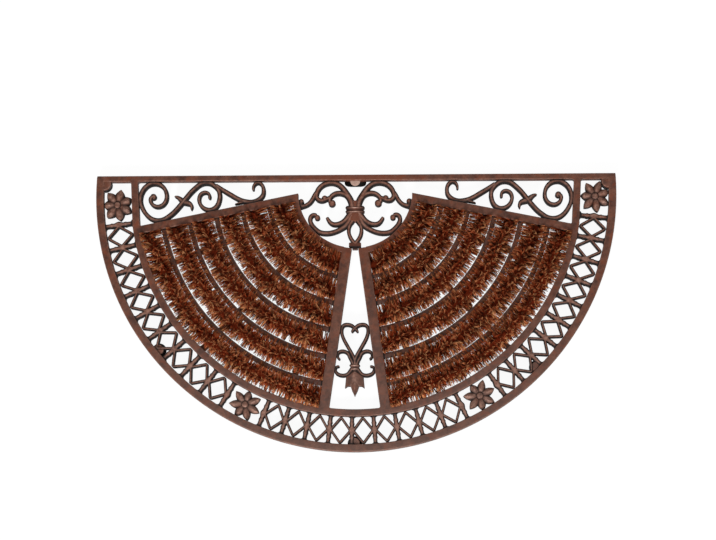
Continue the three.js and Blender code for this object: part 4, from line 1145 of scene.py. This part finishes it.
def mirrored(shell):
    """A shell on the other side of the mat's middle line, its faces turned back outward."""
    points, faces, worn_or_lit, deep = shell
    return points * [-1, 1, 1], turned_over(faces), worn_or_lit, deep


hub_left = [stroke(points, widths, scroll_high - hub_fall * k)
            for k, (points, widths) in enumerate(hub_strokes)]
hub_left += [ball((x, y), radius, scroll_high) for x, y, radius in hub_balls]
points, faces, worn_or_lit, deep = upright((-74.3, -81.0), (8.8, 8.8), scroll_high - 0.4,
                                    roots=(0, 0), tips=(1.2, 0.5), step=1.5)
# The knot is held in painted shade all over
knot = points, faces, worn_or_lit, np.maximum(deep, 0.26)
throat = upright((-75, -84), (4.1, 4.1), scroll_high - 0.9, roots=(0, 0), tips=(0.5, 0.8),
                 step=1.5)
neck = upright((-12.8, -16.5, -21.5), (4.0, 6.6, 7.6), scroll_high - 0.25, roots=(0, 0),
               tips=(0.8, 0.3), step=1.5)
fan = upright((-31.0, -36.0, -40.0, -43.8), (8.6, 10.2, 9.4, 5.6), scroll_high - 0.25,
              roots=(0, 0), tips=(0.3, 1.6), step=1.5)
add_iron("hub_branches", hub_left + [mirrored(s) for s in hub_left]
         + [collar(28.0, 11.4, -20.7), knot, throat, neck, fan], "hub_scrollwork",
         walls=[bar_wall, round_wall(hub_radius)])

# Heart ornament
# A heart and two pairs of small scrolls bound by a collar, with a leaf of
# five points, cast across the middle window between the wedge bars.
heart_strokes = [
    ([(0.8, -200), (-2.6, -196.2), (-6.2, -194), (-10.8, -193.3), (-15.4, -194), (-18.2, -197.4),
      (-18.9, -203.6), (-17.6, -209.8), (-15, -215.9), (-11.3, -222.6), (-7.2, -229.8),
      (-3.2, -237), (-0.5, -243.5), (0.6, -251)], [5, 5, 5, 5, 5, 5.8]),
    ([(0.5, -198.6), (-2.4, -200.8), (-4.4, -204.4)], [5, 4.2, 3]),
    ([(-2, -252), (-4.8, -244.8), (-7.3, -240.4), (-9.3, -235.4), (-12.9, -232.4), (-18, -231.4),
      (-22.8, -232.9), (-24.6, -236.4), (-24.2, -240.5), (-21, -243.4)], [5.8, 5, 5, 4.5, 3]),
    ([(-3, -256.5), (-6.2, -259.8), (-9.8, -264.3), (-15.9, -266.3), (-22.8, -265),
      (-26.8, -261.5), (-27.8, -257), (-25.8, -253.7), (-21.6, -253.4)], [5.8, 5, 5, 4.5, 3]),
]
leaf_half = np.array([(0, -257), (5.7, -261.5), (12.5, -268), (13, -275), (14, -284.2),
                      (10, -281.6), (6, -281.4), (4, -287.6), (0, -296)], float)


def leaf(half):
    """Rings from the foot of the wall to the leaf's middle: the outline is brought towards a
    spine on the middle line by each share, and its top rises towards the spine."""
    step = np.linspace(0, len(half) - 1, 6 * (len(half) - 1) + 1)
    k = np.clip(step.astype(int), 0, len(half) - 2)
    right = half[k] + (half[k + 1] - half[k]) * (step - k)[:, None]
    whole = np.vstack([right, right[-2:0:-1] * [-1, 1]])
    spine = np.column_stack([0 * whole[:, 0], np.clip(whole[:, 1] + 8, -290, -262)])
    # Each level: its share towards the spine, its fall below the top, and how pale it is; the rim
    # and the spine are palest, and the depth below the top gives painted shade.
    levels = [(1.0, None, 0), (1.0, 3.4, 0), (0.96, 2.6, .6), (0.85, 2.0, .3), (0.6, 1.3, 0),
              (0.35, 0.7, .2), (0.12, 0.0, .9)]
    rings, worn_or_lit = [], []
    for share, fall, rubbed_and_lit in levels:
        edge = spine + (whole - spine) * share
        z = frame_low if fall is None else scroll_high - fall
        rings.append(np.column_stack([edge, np.full(len(edge), z)]))
        worn_or_lit.append(np.full(len(edge), float(rubbed_and_lit)))
    points, faces = skin_of(np.array(rings))
    deep = (scroll_high - points[:, 2]) / (scroll_high - frame_low)
    return points, faces, np.concatenate(worn_or_lit), deep


heart_left = [more_shaded(stroke(points, widths, scroll_high - heart_fall * k, drop=2.4,
                            tips=(1.2, 1.2)))
              for k, (points, widths) in enumerate(heart_strokes)]
add_iron("heart_and_leaf", heart_left + [mirrored(s) for s in heart_left]
         + [collar(15.5, 10.0, -249.5), leaf(leaf_half)], "heart_ornament",
         walls=[straight_wall(*wedge_window),
                straight_wall(wedge_window[0] * [-1, 1], wedge_window[1] * [-1, 1])])
